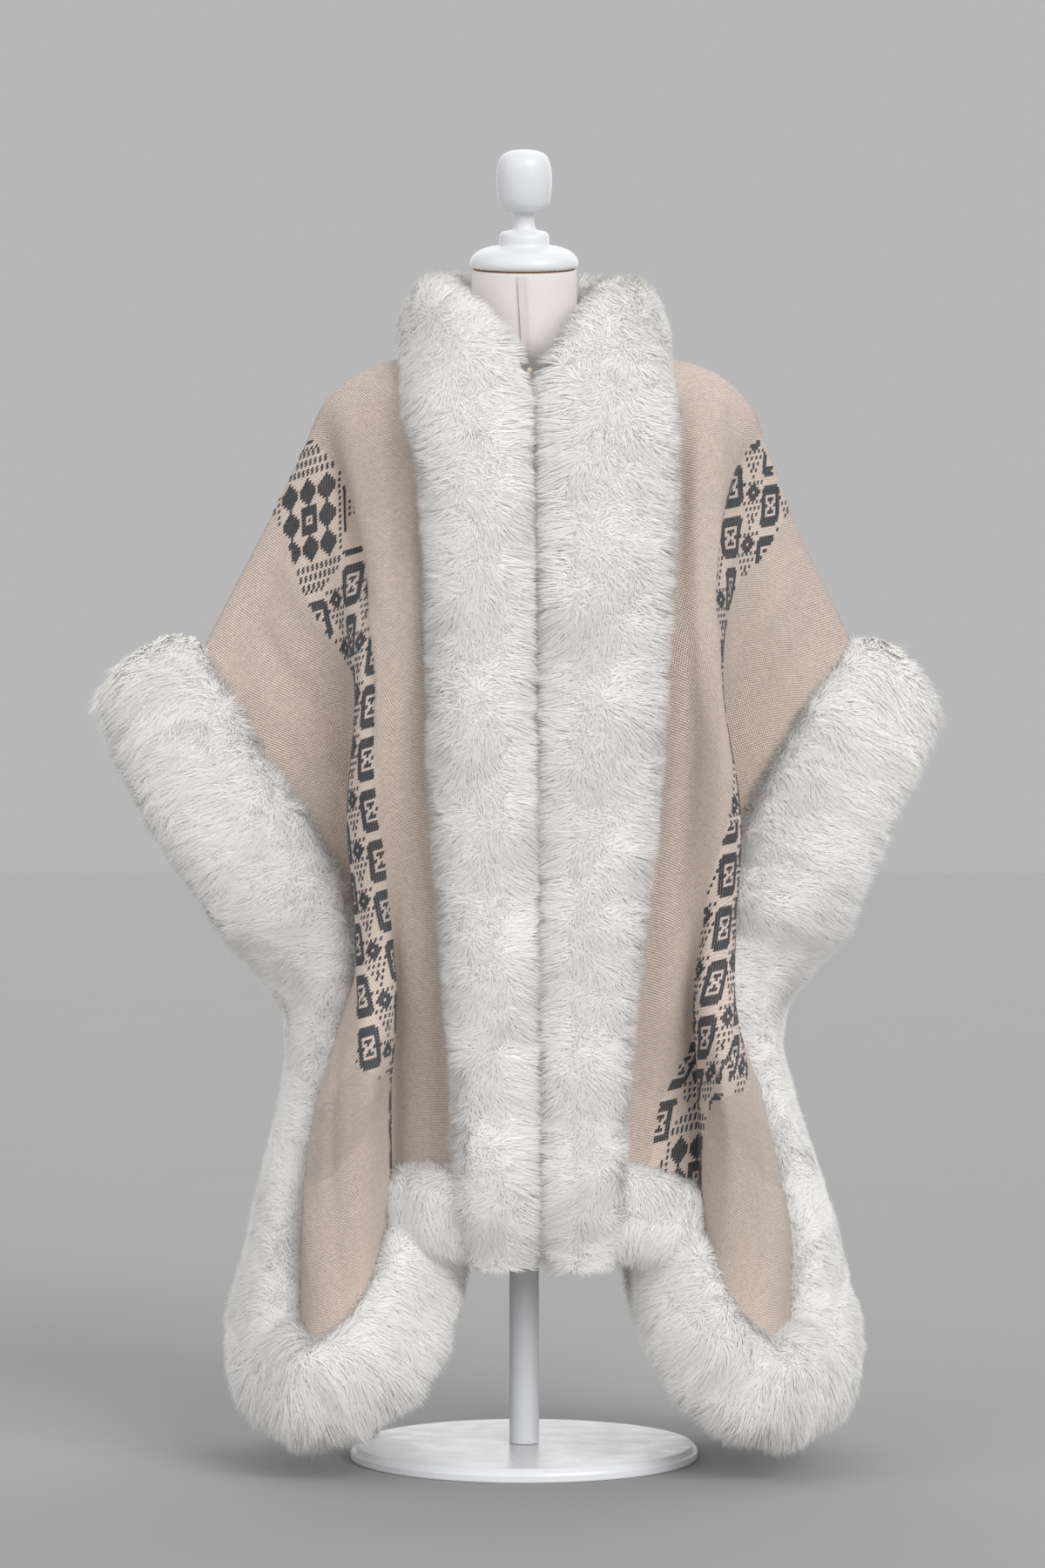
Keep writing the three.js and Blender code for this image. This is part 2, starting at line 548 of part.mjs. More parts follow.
// The lathe's own axis is +Y; this stands it on +Z.
const UPRIGHT = new THREE.Matrix4().makeRotationX(Math.PI / 2);

// The centre-front tape: clear is its own gap to the form's skin.
const TAPE = {
  half: 3.5, thickness: 0.8, clear: 0.9, rows: 14, topX: -3, bottomX: 4, topZ: 1196, bottomZ: 1050,
};

// A point of the form's skin at the front, at a given x and nominal height.
function formFront(x, z) {
  const value = (key) => spline(FORM_SECTIONS.map((s) => s.z), FORM_SECTIONS.map((s) => s[key]), z);
  const y = -value("front") * Math.sqrt(1 - (x / value("half")) ** 2);
  return new THREE.Vector3(x, y, leaned(z, y));
}

// The tape is made from the form's own points, moved out.
function tapeGeometry() {
  const point = (across, down) => {
    const middle = THREE.MathUtils.lerp(TAPE.topX, TAPE.bottomX, down);
    const x = middle + TAPE.half * (across - 1);
    const skin = formFront(x, THREE.MathUtils.lerp(TAPE.topZ, TAPE.bottomZ, down));
    return skin.add(new THREE.Vector3(0, -TAPE.thickness - TAPE.clear, 0));
  };
  const falls = Array.from({ length: TAPE.rows + 1 }, (_, i) => i / TAPE.rows);
  return wallGeometry(point, [0, 1, 2], falls, 1, TAPE.thickness);
}

// ---------------------------------------------------------------- materials
const material = (colour, roughness) => new THREE.MeshStandardMaterial({ color: colour, roughness });
const MATERIALS = {
  cloth: material(0xd3c5b4, 0.9),
  fur: material(0xeeece6, 1),
  form: material(0xe9e1da, 0.85),
  tape: material(0xd2cbc4, 0.8),
  paint: material(0xe8e9ee, 0.4),
  board: material(0x6b4a32, 0.8),
  pearl: material(0xf0e6c8, 0.2),
};

// ---------------------------------------------------------------- assembly
const cape = new THREE.Group();
const stand = new THREE.Group();
const root = new THREE.Group();
root.add(cape, stand);

function add(group, name, geometry, finish) {
  const mesh = new THREE.Mesh(geometry, finish);
  mesh.name = name;
  group.add(mesh);
  return mesh;
}

// The edge of one side of the cape runs along the front's bottom to the corner, up to the arm's end, down
// the back's side to its corner and along the back's bottom. These are the rings where its strips meet.
const BOTTOM_START = 0.2; // warp line, under the front strip, where a front bottom strip begins
const BACK_START = -1; // warp line of the middle of the back, counted on from the front edge's
const BOTTOM_COUNT = 13; // rings along a bottom strip, up to the corner
const SIDE_COUNT = 12; // rings up a side strip, from the corner
const AT_CORNER = BOTTOM_COUNT + 2;
const AT_ARM = BOTTOM_COUNT + CORNER_TURNS.length + SIDE_COUNT - 1;
function edgeRings(side) {
  const sign = side === "left" ? -1 : 1;
  const counts = { bottomCount: BOTTOM_COUNT, sideCount: SIDE_COUNT, side: sign };
  const behind = (line, v) => backPoint(side === "left" ? LAST - line : LAST + 2 + line, v);
  const front = quarterStops({ edge: frontPoint(side), depth: -1, from: BOTTOM_START, ...counts });
  const back = quarterStops({ edge: behind, depth: 1, from: BACK_START, ...counts }).reverse();
  return sewnRings([...front, ...back.slice(1)]);
}
const EDGES = { left: edgeRings("left"), right: edgeRings("right") };
const AT_BACK_CORNER = EDGES.left.length - 1 - AT_CORNER;

// A ring of a strip that is walked the other way.
const turnedRound = (ring) => ({ ...ring, thick: ring.thick.clone().negate() });

// Every fur strip, in the order they are sewn: a later strip is trimmed where it meets an earlier one.
const STRIPS = {
  fur_collar: trimRings(COLLAR_SEAMS[0], COLLAR_SEAMS[1], COLLAR_RINGS),
  fur_front_left: trimRings(0, COLLAR_SEAMS[0], FRONT_STRIP_RINGS),
  fur_front_right: trimRings(COLLAR_SEAMS[1], TRIM.length - 1, FRONT_STRIP_RINGS),
  fur_hem_front_left: EDGES.left.slice(0, AT_CORNER + 1),
  fur_hem_front_right: EDGES.right.slice(0, AT_CORNER + 1),
  fur_hem_back: [
    ...EDGES.left.slice(AT_BACK_CORNER),
    ...EDGES.right.slice(AT_BACK_CORNER, -1).map(turnedRound).reverse(),
  ],
  fur_side_front_left: EDGES.left.slice(AT_CORNER, AT_ARM + 1),
  fur_side_front_right: EDGES.right.slice(AT_CORNER, AT_ARM + 1),
  fur_side_back_left: EDGES.left.slice(AT_ARM, AT_BACK_CORNER + 1),
  fur_side_back_right: EDGES.right.slice(AT_ARM, AT_BACK_CORNER + 1),
};

// The pearl-headed pin that closes the collar: its shank runs back between the two ends of the fur.
const PIN = { x: 5, y: -91, z: 1088, headRadius: 3.6, shankRadius: 0.8, shankLength: 44 };
const PIN_STEPS = 9; // cords of the head's outline
const PIN_AROUND = 10;
function pinGeometry(swell) {
  const shank = PIN.shankRadius + swell;
  const head = PIN.headRadius + swell;
  const profile = [[0, -PIN.shankLength - swell], [shank, -PIN.shankLength - swell]];
  const neckAngle = Math.asin(shank / head);
  for (let k = 0; k <= PIN_STEPS; k++) {
    const angle = THREE.MathUtils.lerp(neckAngle, Math.PI, k / PIN_STEPS);
    profile.push([k < PIN_STEPS ? head * Math.sin(angle) : 0, -head * Math.cos(angle)]);
  }
  const pin = turned(profile, PIN_AROUND).applyMatrix4(UPRIGHT);
  return pin.rotateX(Math.PI / 2).translate(PIN.x, PIN.y, PIN.z);
}
const pinRoom = solidOf(pinGeometry(GAP));
const formRoom = solidOf(formGeometry(2 * GAP));
const sewn = [];
for (const [name, rings] of Object.entries(STRIPS)) {
  let solid = solidOf(rollGeometry(rings)).subtract(formRoom).subtract(pinRoom);
  if (name.includes("front")) solid = solid.trimByPlane([0, -1, 0], GAP / 2);
  if (name.includes("back")) solid = solid.trimByPlane([0, 1, 0], GAP / 2);
  for (const earlier of sewn) solid = solid.subtract(earlier);
  add(cape, name, geometryOf(solid), MATERIALS.fur);
  sewn.push(solidOf(rollGeometry(rings, GAP)));
}

// Warp lines and falls at which the walls have their vertices.
const FRONT_LINES = [0, 0.9, 1.6, 2.2, 2.6, 3, 3.35, 3.7, 4, 4.35, 4.7, 5, 5.35, 5.7, 6.1, 6.6, 7.2, 8];
const HALF_BACK_LINES = [0, 1.2, 2.2, 2.8, 3.2, 3.7, 4.1, 4.6, 5, 5.5, 6.1, 7, 8];
const BACK_PANEL_LINES = [
  ...HALF_BACK_LINES.map((line) => LAST - line).reverse(),
  LAST + 1,
  ...HALF_BACK_LINES.map((line) => LAST + 2 + line),
];
const FALLS = [
  0, 0.015, 0.04, 0.07, 0.11, 0.16, 0.21, 0.26, 0.31, 0.36, 0.42, 0.48, 0.54, 0.61, 0.68, 0.76, 0.84, 0.92, 1,
];
const PANEL_LINES = { front_left: FRONT_LINES, front_right: FRONT_LINES, back: BACK_PANEL_LINES };
for (const [name, sheet] of Object.entries(SHEETS)) {
  const wall = wallGeometry(sheet.point, PANEL_LINES[name], FALLS, sheet.turn, CLOTH);
  let solid = solidOf(wall).trimByPlane([0, name === "back" ? 1 : -1, 0], GAP / 2);
  for (const strip of sewn) solid = solid.subtract(strip);
  add(cape, name, geometryOf(solid), MATERIALS.cloth);
}

add(stand, "dress_form", formGeometry(), MATERIALS.form);
add(stand, "neck_tape", tapeGeometry(), MATERIALS.tape);

const neck = new THREE.Group();
neck.position.set(0, 0, NECK_TOP_Z);
neck.rotation.x = Math.atan(NECK_LEAN);
stand.add(neck);
add(neck, "neck_plate", turned(PLATE_PROFILE, FORM_AROUND).applyMatrix4(UPRIGHT), MATERIALS.board);
add(neck, "neck_cap", turned(CAP_PROFILE, TURNED_AROUND).applyMatrix4(UPRIGHT), MATERIALS.paint);

add(cape, "pearl_pin", pinGeometry(0), MATERIALS.pearl);

const poleTop = FORM_BOTTOM_Z - GAP;
const poleFoot = BASE_THICKNESS + GAP;
const pole = new THREE.CylinderGeometry(POLE_RADIUS, POLE_RADIUS, poleTop - poleFoot, TURNED_AROUND);
add(stand, "pole", pole.applyMatrix4(UPRIGHT), MATERIALS.paint).position.z = (poleTop + poleFoot) / 2;
add(stand, "base", turned(BASE_PROFILE, BASE_AROUND).applyMatrix4(UPRIGHT), MATERIALS.paint);

export default root;
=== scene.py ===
"""A fur-trimmed woven cape on a limbless dress form, laid out as an add-on and run as a script.

Each operator makes one piece, or a group of like pieces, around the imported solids. Lengths in the tables
are in millimetres, as on a maker's pattern, and everything that Blender gets is in metres.
"""
import math
from functools import partial

import bmesh
import bpy
import numpy as np
from mathutils import Matrix, Vector


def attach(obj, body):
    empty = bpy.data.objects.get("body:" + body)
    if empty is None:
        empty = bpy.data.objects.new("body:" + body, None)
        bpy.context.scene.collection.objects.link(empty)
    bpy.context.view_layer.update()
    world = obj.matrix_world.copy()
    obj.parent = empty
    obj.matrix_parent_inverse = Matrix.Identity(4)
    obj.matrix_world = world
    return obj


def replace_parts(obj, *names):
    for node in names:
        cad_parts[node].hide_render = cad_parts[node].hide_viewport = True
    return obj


bl_info = {
    "name": "Fur-trimmed cape",
    "version": (1, 0, 0),
    "blender": (4, 5, 0),
    "location": "View3D > Sidebar > Cape",
    "description": "Makes a fur-trimmed woven cape on a dress form",
    "category": "Object",
}

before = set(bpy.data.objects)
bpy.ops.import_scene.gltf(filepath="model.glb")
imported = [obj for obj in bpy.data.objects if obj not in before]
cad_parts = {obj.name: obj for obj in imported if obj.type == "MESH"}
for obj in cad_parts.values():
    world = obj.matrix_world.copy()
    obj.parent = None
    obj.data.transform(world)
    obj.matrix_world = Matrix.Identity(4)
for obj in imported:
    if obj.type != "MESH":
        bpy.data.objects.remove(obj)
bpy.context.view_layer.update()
MM = 0.001
WELD_DISTANCE = 1e-6

# ---------------------------------------------------------------- the draped cloth
CAPE_CENTRE_X = 13
RIDGE = 0.02  # softness of the fold over the shoulder line, as a share of the drop
CLOTH_DROP = 830  # length of the cloth from the shoulder line to the hem
STATIONS = [0.06, 0.15, 0.33, 0.5, 0.7, 0.85, 1]

# One row for each warp line, from the front edge to the side edge: its place on the shoulder line, the
# height of its hem, and its place across at each station in front.
WARP_LINES = {
    "left": [
        (-92, 14, 1112, 300, [-80, -64, -57, -55, -48, -43, -38]),
        (-118, 2, 1111, 300, [-109, -97, -87, -84, -77, -71, -65]),
        (-160, 0, 1098, 297, [-150, -135, -121, -118, -115, -111, -110]),
        (-200, 0, 1067, 279, [-189, -173, -152, -146, -128, -130, -129]),
        (-223, 0, 1018, 243, [-208, -189, -167, -171, -128, -133, -133]),
        (-250, 0, 961, 187, [-233, -209, -153, -170, -150, -151, -146]),
        (-274, 0, 914, 146, [-255, -228, -146, -160, -184, -184, -173]),
        (-298, 0, 868, 132, [-278, -250, -165, -168, -204, -212, -204]),
        (-327, 0, 811, 148, [-307, -278, -193, -185, -203, -221, -223]),
    ],
    "right": [
        (118, 14, 1112, 300, [112, 104, 98, 94, 82, 72, 68]),
        (150, 2, 1109, 300, [146, 141, 133, 128, 113, 102, 97]),
        (194, 0, 1094, 286, [187, 176, 167, 164, 152, 144, 144]),
        (230, 0, 1060, 258, [220, 206, 191, 195, 167, 170, 170]),
        (246, 0, 1018, 232, [235, 215, 194, 212, 171, 174, 178]),
        (267, 0, 960, 187, [257, 231, 182, 210, 193, 200, 190]),
        (286, 0, 915, 146, [276, 249, 172, 194, 221, 229, 215]),
        (308, 0, 871, 132, [292, 260, 188, 191, 238, 254, 243]),
        (334, 0, 815, 148, [311, 271, 214, 205, 234, 264, 264]),
    ],
}
# Depth of the same warp lines at each station in front and behind, and the line down the middle behind.
FRONT_DEPTHS = [
    [-72, -96, -138, -141, -140, -139, -138],
    [-68, -94, -138, -140, -138, -136, -134],
    [-56, -98, -147, -142, -126, -118, -112],
    [-34, -62, -138, -156, -118, -104, -98],
    [-26, -55, -104, -128, -142, -130, -122],
    [-22, -50, -66, -80, -164, -160, -154],
    [-20, -45, -48, -56, -150, -166, -172],
    [-18, -40, -48, -54, -112, -140, -158],
    [-15, -34, -55, -62, -74, -92, -112],
]
BACK_DEPTHS = [
    [92, 116, 124, 122, 124, 128, 132],
    [80, 112, 123, 120, 122, 126, 130],
    [60, 98, 124, 130, 134, 136, 138],
    [40, 70, 114, 134, 132, 126, 124],
    [30, 58, 92, 112, 122, 118, 116],
    [26, 52, 72, 84, 118, 126, 124],
    [22, 46, 56, 66, 110, 134, 142],
    [20, 40, 52, 58, 92, 122, 138],
    [16, 34, 50, 58, 70, 88, 104],
]
BACK_WIDTH = 0.98
BACK_CENTRE = {"top_y": 92, "top_z": 1112, "hem_z": 300, "y": [104, 118, 125, 124, 126, 130, 134]}
SIDE_LINE = 8  # the side edge's warp line

# Warp lines between which the patterned band lies, by fall.
BAND_EDGES = {
    "left": {
        "inner": ([0, 0.1, 0.2, 0.3, 0.4, 0.5, 0.6, 0.7, 0.8, 1],
                  [3.8, 3.4, 3.2, 3.15, 3.1, 3.0, 3.0, 3.2, 3.3, 3.2]),
        "outer": ([0, 0.11, 0.2, 0.26, 0.33, 0.5, 0.6, 0.7, 0.76, 0.8, 0.9, 1],
                  [5.1, 5.2, 4.9, 4.6, 4.5, 4.7, 5.2, 5.4, 4.7, 4.1, 3.9, 3.8]),
    },
    "right": {
        "inner": ([0, 0.1, 0.2, 0.28, 0.4, 0.48, 0.6, 0.7, 0.8, 0.9, 1],
                  [3.8, 3.0, 2.8, 2.9, 3.5, 3.4, 3.0, 3.4, 2.8, 1.8, 1.5]),
        "outer": ([0, 0.11, 0.2, 0.28, 0.4, 0.48, 0.6, 0.72, 0.8, 0.9, 1],
                  [5.1, 4.7, 4.1, 3.8, 4.6, 5.5, 6.8, 5.6, 4.5, 3.9, 3.6]),
    },
    "back": {
        "inner": ([0, 0.3, 0.6, 1], [3.8, 3.5, 3.2, 3.1]),
        "outer": ([0, 0.3, 0.6, 1], [5.1, 5.0, 5.1, 5.0]),
    },
}
QUARTER_SHARES = (0.34, 0.3, 0.36)  # of a panel's columns: before the band, in it and past it
BACK_COLUMNS = 0.9  # columns of half the back, as a share of a front panel's
BAND_WIDTH = 98
STITCH_WIDE = 2.75
STITCH_TALL = 3.2
# Where the middle of a medallion lies across each panel, how much the rows of stitches rise outwards, and
# the heights of the medallions; hooked blocks fill the rest.
LAYOUT = {
    "left": {"middle": -216, "rise": -0.30, "medallions": [944, 312]},
    "right": {"middle": 163, "rise": 0.22, "medallions": [290]},
    "back_left": {"middle": -200, "rise": -0.25, "medallions": [900, 500]},
    "back_right": {"middle": 222, "rise": 0.25, "medallions": [900, 500]},
}

# Soft creases: warp line and fall of both ends, half-width, and depth into the cloth (negative is a ridge).
CREASES = {
    "left": [
        (1.75, 0.08, 2.15, 0.42, 13, 5.0),
        (2.7, 0.02, 2.8, 0.30, 12, -3.0),
        (2.45, 0.26, 2.5, 0.66, 14, 4.6),
        (3.5, 0.03, 3.25, 0.27, 14, 13.0),
        (3.25, 0.25, 3.1, 0.5, 9, 4.5),
        (2.9, 0.20, 2.7, 0.48, 11, 3.6),
        (5.6, 0.05, 4.7, 0.24, 12, -2.6),
        (6.8, 0.05, 6.0, 0.30, 10, 2.6),
        (7.3, 0.12, 6.6, 0.36, 9, -2.2),
        (0.8, 0.55, 1.4, 0.98, 12, 3.0),
        (5.0, 0.58, 5.3, 0.97, 14, -2.8),
        (6.2, 0.62, 6.0, 0.98, 11, 2.8),
        (7.1, 0.66, 7.0, 0.92, 10, -2.4),
    ],
    "right": [
        (1.3, 0.03, 1.5, 0.34, 12, 4.4),
        (2.2, 0.04, 2.7, 0.36, 12, -3.4),
        (1.9, 0.34, 1.9, 0.70, 11, 3.0),
        (3.5, 0.02, 2.8, 0.30, 13, 6.5),
        (1.9, 0.10, 2.2, 0.42, 9, -2.8),
        (5.9, 0.04, 4.9, 0.27, 12, -2.8),
        (7.0, 0.06, 6.2, 0.26, 10, 2.8),
        (1.2, 0.52, 1.3, 0.97, 14, 4.4),
        (5.2, 0.56, 5.0, 0.95, 13, -2.6),
        (6.4, 0.60, 6.3, 0.98, 12, 2.8),
    ],
    "back": [
        (1.2, 0.04, 1.5, 0.5, 15, 4.0),
        (2.6, 0.04, 2.9, 0.4, 13, -3.4),
        (4.2, 0.05, 3.8, 0.3, 11, 3.2),
        (5.8, 0.05, 5.0, 0.3, 12, -2.8),
        (6.9, 0.06, 6.2, 0.3, 10, 2.6),
        (0.4, 0.5, 0.9, 0.95, 14, 3.4),
        (2.2, 0.6, 2.3, 0.96, 12, -2.6),
        (5.3, 0.6, 5.2, 0.95, 12, 2.8),
        (6.6, 0.6, 6.7, 0.95, 11, -2.4),
    ],
}
LINE_PITCH = 45  # usual distance between warp lines, in which a crease's ends are measured
CREASE_DEPTH = 1.7  # how much deeper than in the table the creases are pressed

# Charts of the pattern, in which a mark is a charcoal stitch. Half of the medallion, from its middle column
# outwards and from its middle row up:
MEDALLION = """
#.##.#######.#.#.#.
..##.#######...#...
####..#####..#.#.#.
####...###.....#...
####....#....#.#...
#.......#......#...
##.....###...#.#...
###...#####....#...
####.#######.#.....
####.#######.......
####.#######.#.....
###...#####........
##.....###...#.....
#.......#..........
...................
#.#.#.#.#.#.#......
#.#.#.#.#.#.#......
...................
.#.#.#.#.#.#.......
.#.#.#.#.#.........
...................
#.#.#.#............
#.#.#..............
.#.#...............
""".split()
# Half of a hooked block, from its middle column outwards and from its top row to its middle one:
BLOCK = ["####.", "#####", "#####", "...##", "##.##", "#..##", "..###"]
# The ground between two columns of blocks, which stand half a step apart:
GROUND = """
....#....
.........
...#.#...
....#....
..#.#.#..
.........
.#.#.#.#.
.........
#.#.#.#.#
...###...
..#####..
.###.###.
..#####..
...###...
#.#.#.#.#
.........
""".split()
HALF_REPEAT = len(MEDALLION[0]) - 1  # stitches from the middle of a motif to the middle of the next
BLOCK_WIDE = len(BLOCK[0])
MEDALLION_SHOULDER = 13  # rows above which blocks come back beside a medallion

# ---------------------------------------------------------------- the fur strips
SQUARENESS = 2.4
CLOTH_INSET = 12
# The trim from the left front edge round the neck to the right one: the centre of each section, its
# half-width, half-thickness, and the way its pile faces.
TRIM = [
    (-27, -155, 207, 26, 18, (0, -1, 0)),
    (-27, -155, 222, 39, 28, (0, -1, 0)),
    (-26, -156, 262, 42, 31, (0, -1, 0)),
    (-26, -158, 340, 41, 30, (0, -1, 0)),
    (-31, -160, 510, 46, 30, (0, -1, 0)),
    (-37, -162, 680, 50, 30, (0, -1, 0)),
    (-40, -161, 849, 51, 30, (0, -1, 0)),
    (-42, -152, 934, 52, 30, (0, -1, 0.15)),
    (-45, -138, 1010, 57, 29, (0, -0.95, 0.3)),
    (-53, -110, 1064, 64, 29, (-0.15, -0.88, 0.45)),
    (-78, -68, 1117, 58, 31, (-0.55, -0.6, 0.4)),
    (-93, -18, 1145, 49, 33, (-0.93, -0.15, 0.3)),
    (-84, 38, 1154, 48, 33, (-0.85, 0.4, 0.3)),
    (-48, 80, 1157, 48, 33, (-0.5, 0.8, 0.3)),
    (4, 95, 1158, 48, 33, (0, 0.95, 0.3)),
    (58, 82, 1156, 48, 34, (0.5, 0.8, 0.3)),
    (96, 40, 1149, 49, 37, (0.85, 0.4, 0.3)),
    (106, -18, 1139, 52, 40, (0.93, -0.15, 0.3)),
    (95, -72, 1112, 62, 37, (0.55, -0.6, 0.4)),
    (80, -111, 1064, 68, 32, (0.15, -0.88, 0.45)),
    (78, -138, 1010, 66, 29, (0, -0.95, 0.3)),
    (77, -152, 934, 64, 30, (0, -1, 0.15)),
    (75, -161, 849, 61, 30, (0, -1, 0)),
    (71, -162, 680, 56, 30, (0, -1, 0)),
    (63, -160, 510, 48, 30, (0, -1, 0)),
    (57, -158, 340, 41, 30, (0, -1, 0)),
    (58, -156, 262, 42, 31, (0, -1, 0)),
    (59, -155, 222, 40, 28, (0, -1, 0)),
    (60, -155, 207, 26, 18, (0, -1, 0)),
]
COLLAR_SEAMS = (8, 20)
HEM_SIZE = (51, 33)
CORNER_SIZE = (58, 38)
# The way a strip reaches away from the cloth, by warp line along the bottom and by fall up the side:
# sideways from the cape's middle, outwards in depth, and up.
BOTTOM_OUT = {
    "keys": [0, 2, 3, 3.6, 4.3, 5, 6, 7, 8],
    "sideways": [0, 0, -0.25, -0.6, -0.7, -0.65, -0.35, 0.1, 0.35],
    "outwards": [0, 0, -0.1, -0.3, -0.3, -0.2, 0, 0.05, -0.1],
    "up": [-1, -1, -0.97, -0.74, -0.64, -0.73, -0.94, -1, -0.93],
}
SIDE_SIZE = ([0, 0.15, 0.35, 0.5, 0.65, 1], [65, 72, 72, 64, 56, 58], [42, 42, 41, 38, 36, 38])
SIDE_BOTH = {
    "keys": [0, 0.15, 0.33, 0.42, 0.5, 0.6, 0.75, 0.88, 1],
    "outwards": [0, 0.05, -0.15, -0.6, -0.85, -0.95, -0.97, -0.93, -0.78],
}
SIDE_OUT = {
    "left": SIDE_BOTH | {
        "sideways": [0.83, 0.81, 0.8, 0.62, 0.35, 0.2, 0.2, 0.3, 0.55],
        "up": [-0.55, -0.58, -0.56, -0.5, -0.4, -0.2, 0, 0, -0.2],
    },
    "right": SIDE_BOTH | {
        "sideways": [0.58, 0.69, 0.73, 0.58, 0.35, 0.15, 0.1, 0.2, 0.5],
        "up": [-0.81, -0.73, -0.65, -0.54, -0.4, -0.2, 0, 0, -0.2],
    },
}
CORNER_TURNS = [0, 0.25, 0.5, 0.75, 1]
CORNER_SWING = 3
CORNER_LINES = 0.4
CORNER_FALL = 0.05
BOTTOM_COUNT = 13
SIDE_COUNT = 12
COLLAR_RINGS = 26
FRONT_RINGS = 16
ROUNDED_GIRTH = 1.08  # girth of a strip's rounded section beside that of an ellipse

# ---------------------------------------------------------------- the dress form and its stand
NECK_TOP_Z = 1199
NECK_LEAN = 0.2
NECK_BASE_Z = 1100
# Sections of the form: height, half-width, and depth to the front and to the back.
FORM_SECTIONS = [
    (430, 146, 92, 100), (442, 152, 98, 106), (510, 156, 101, 110), (570, 152, 98, 103),
    (625, 140, 92, 92), (680, 126, 86, 80), (740, 132, 92, 82), (800, 146, 106, 90),
    (850, 155, 118, 97), (892, 161, 122, 102), (935, 166, 110, 105), (975, 174, 90, 101),
    (1005, 182, 74, 91), (1030, 188, 58, 76), (1049, 187, 46, 62), (1065, 176, 40, 53),
    (1079, 154, 39, 50), (1091, 128, 41, 50), (1100, 101, 45, 52), (1109, 79, 50, 54),
    (1121, 63, 53, 55), (1146, 55, 53, 53), (1199, 53, 53, 53),
]
# Turned profiles, as radius and height, from the axis round to the axis.
CAP_PROFILE = [
    (0, 2), (52, 2), (53.6, 2.6), (54.5, 4), (54.8, 6.5), (54.3, 9.5), (52.6, 13), (49.6, 16.4), (45, 19.4),
    (40, 21.5), (34, 23), (28, 23.8), (26, 24.1), (25.3, 25.2), (25.4, 29), (25.2, 33), (24.4, 35.6),
    (21.8, 37.9), (17.6, 38.9), (14, 39.4), (12, 40.6), (10.8, 43), (10.1, 46.5), (9.9, 51), (10.2, 55),
    (11.2, 57.6), (13.5, 58.4), (18.5, 58.9), (20.2, 60), (21.3, 61.6), (23.4, 63.6), (25.3, 67.4),
    (26.7, 73), (27.6, 80), (28, 88), (27.8, 96), (27, 103), (25.6, 108.6), (23.2, 113.2), (19.4, 116.6),
    (13.5, 118.9), (6.5, 119.9), (0, 120.1),
]
PLATE_PROFILE = [(0, 0.3), (51.2, 0.3), (51.5, 0.6), (51.5, 1.4), (51.2, 1.7), (0, 1.7)]
POLE_PROFILE = [(0, 14.5), (15, 14.5), (15, 429.5), (0, 429.5)]
BASE_PROFILE = [(0, 0), (173, 0), (174.6, 0.6), (175, 2), (175, 7), (174, 9.6), (170, 14), (0, 14)]
PIN = {"x": 5, "y": -91, "z": 1088, "head": 3.6, "shank": 0.8, "length": 44}


# ---------------------------------------------------------------- settings
class ClothSettings(bpy.types.PropertyGroup):
    """Woven cloth of the cape."""

    thickness: bpy.props.FloatProperty(
        name="Thickness", description="Thickness of the woven cloth", default=0.002, min=0.001, max=0.003,
        subtype="DISTANCE", unit="LENGTH")
    columns: bpy.props.IntProperty(
        name="Columns", description="Mesh columns across one front panel", default=60, min=24, max=160)
    rows: bpy.props.IntProperty(
        name="Rows", description="Mesh rows from the shoulder line to the hem", default=150, min=40, max=320)
    ground: bpy.props.FloatVectorProperty(
        name="Ground", description="Colour of the ground yarn", default=(0.84, 0.69, 0.60), size=3,
        min=0, max=1, subtype="COLOR")
    charcoal: bpy.props.FloatVectorProperty(
        name="Charcoal", description="Colour of the pattern yarn", default=(0.062, 0.062, 0.066), size=3,
        min=0, max=1, subtype="COLOR")


class PileSettings(bpy.types.PropertyGroup):
    """Long fur pile of the strips."""

    density: bpy.props.FloatProperty(
        name="Hairs per cm²", description="Blades of hair on each square centimetre of a strip",
        default=33.0, min=0.5, max=40)
    width: bpy.props.FloatProperty(
        name="Hair width", description="Width of a blade of hair at its root", default=0.0011, min=0.0005,
        max=0.006, subtype="DISTANCE", unit="LENGTH")
    core: bpy.props.FloatProperty(
        name="Skin share", description="Size of the skin under the pile, as a share of the strip",
        default=0.9, min=0.3, max=0.95, subtype="FACTOR")
    tip: bpy.props.FloatVectorProperty(
        name="Tips", description="Colour of the pile at its tips", default=(0.86, 0.852, 0.838), size=3,
        min=0, max=1, subtype="COLOR")
    # The roots' darker colour is painted shade in the depth of the pile.
    root: bpy.props.FloatVectorProperty(
        name="Roots", description="Colour of the pile at its roots", default=(0.80, 0.78, 0.75), size=3,
        min=0, max=1, subtype="COLOR")


class FormSettings(bpy.types.PropertyGroup):
    """Dress form and its stand."""

    cover: bpy.props.FloatVectorProperty(
        name="Cover", description="Colour of the form's cotton cover", default=(0.80, 0.755, 0.73), size=3,
        min=0, max=1, subtype="COLOR")
    paint: bpy.props.FloatVectorProperty(
        name="Paint", description="Colour of the painted wood", default=(0.72, 0.73, 0.755), size=3,
        min=0, max=1, subtype="COLOR")
    segments: bpy.props.IntProperty(
        name="Segments", description="Facets round a turned piece", default=96, min=24, max=192)


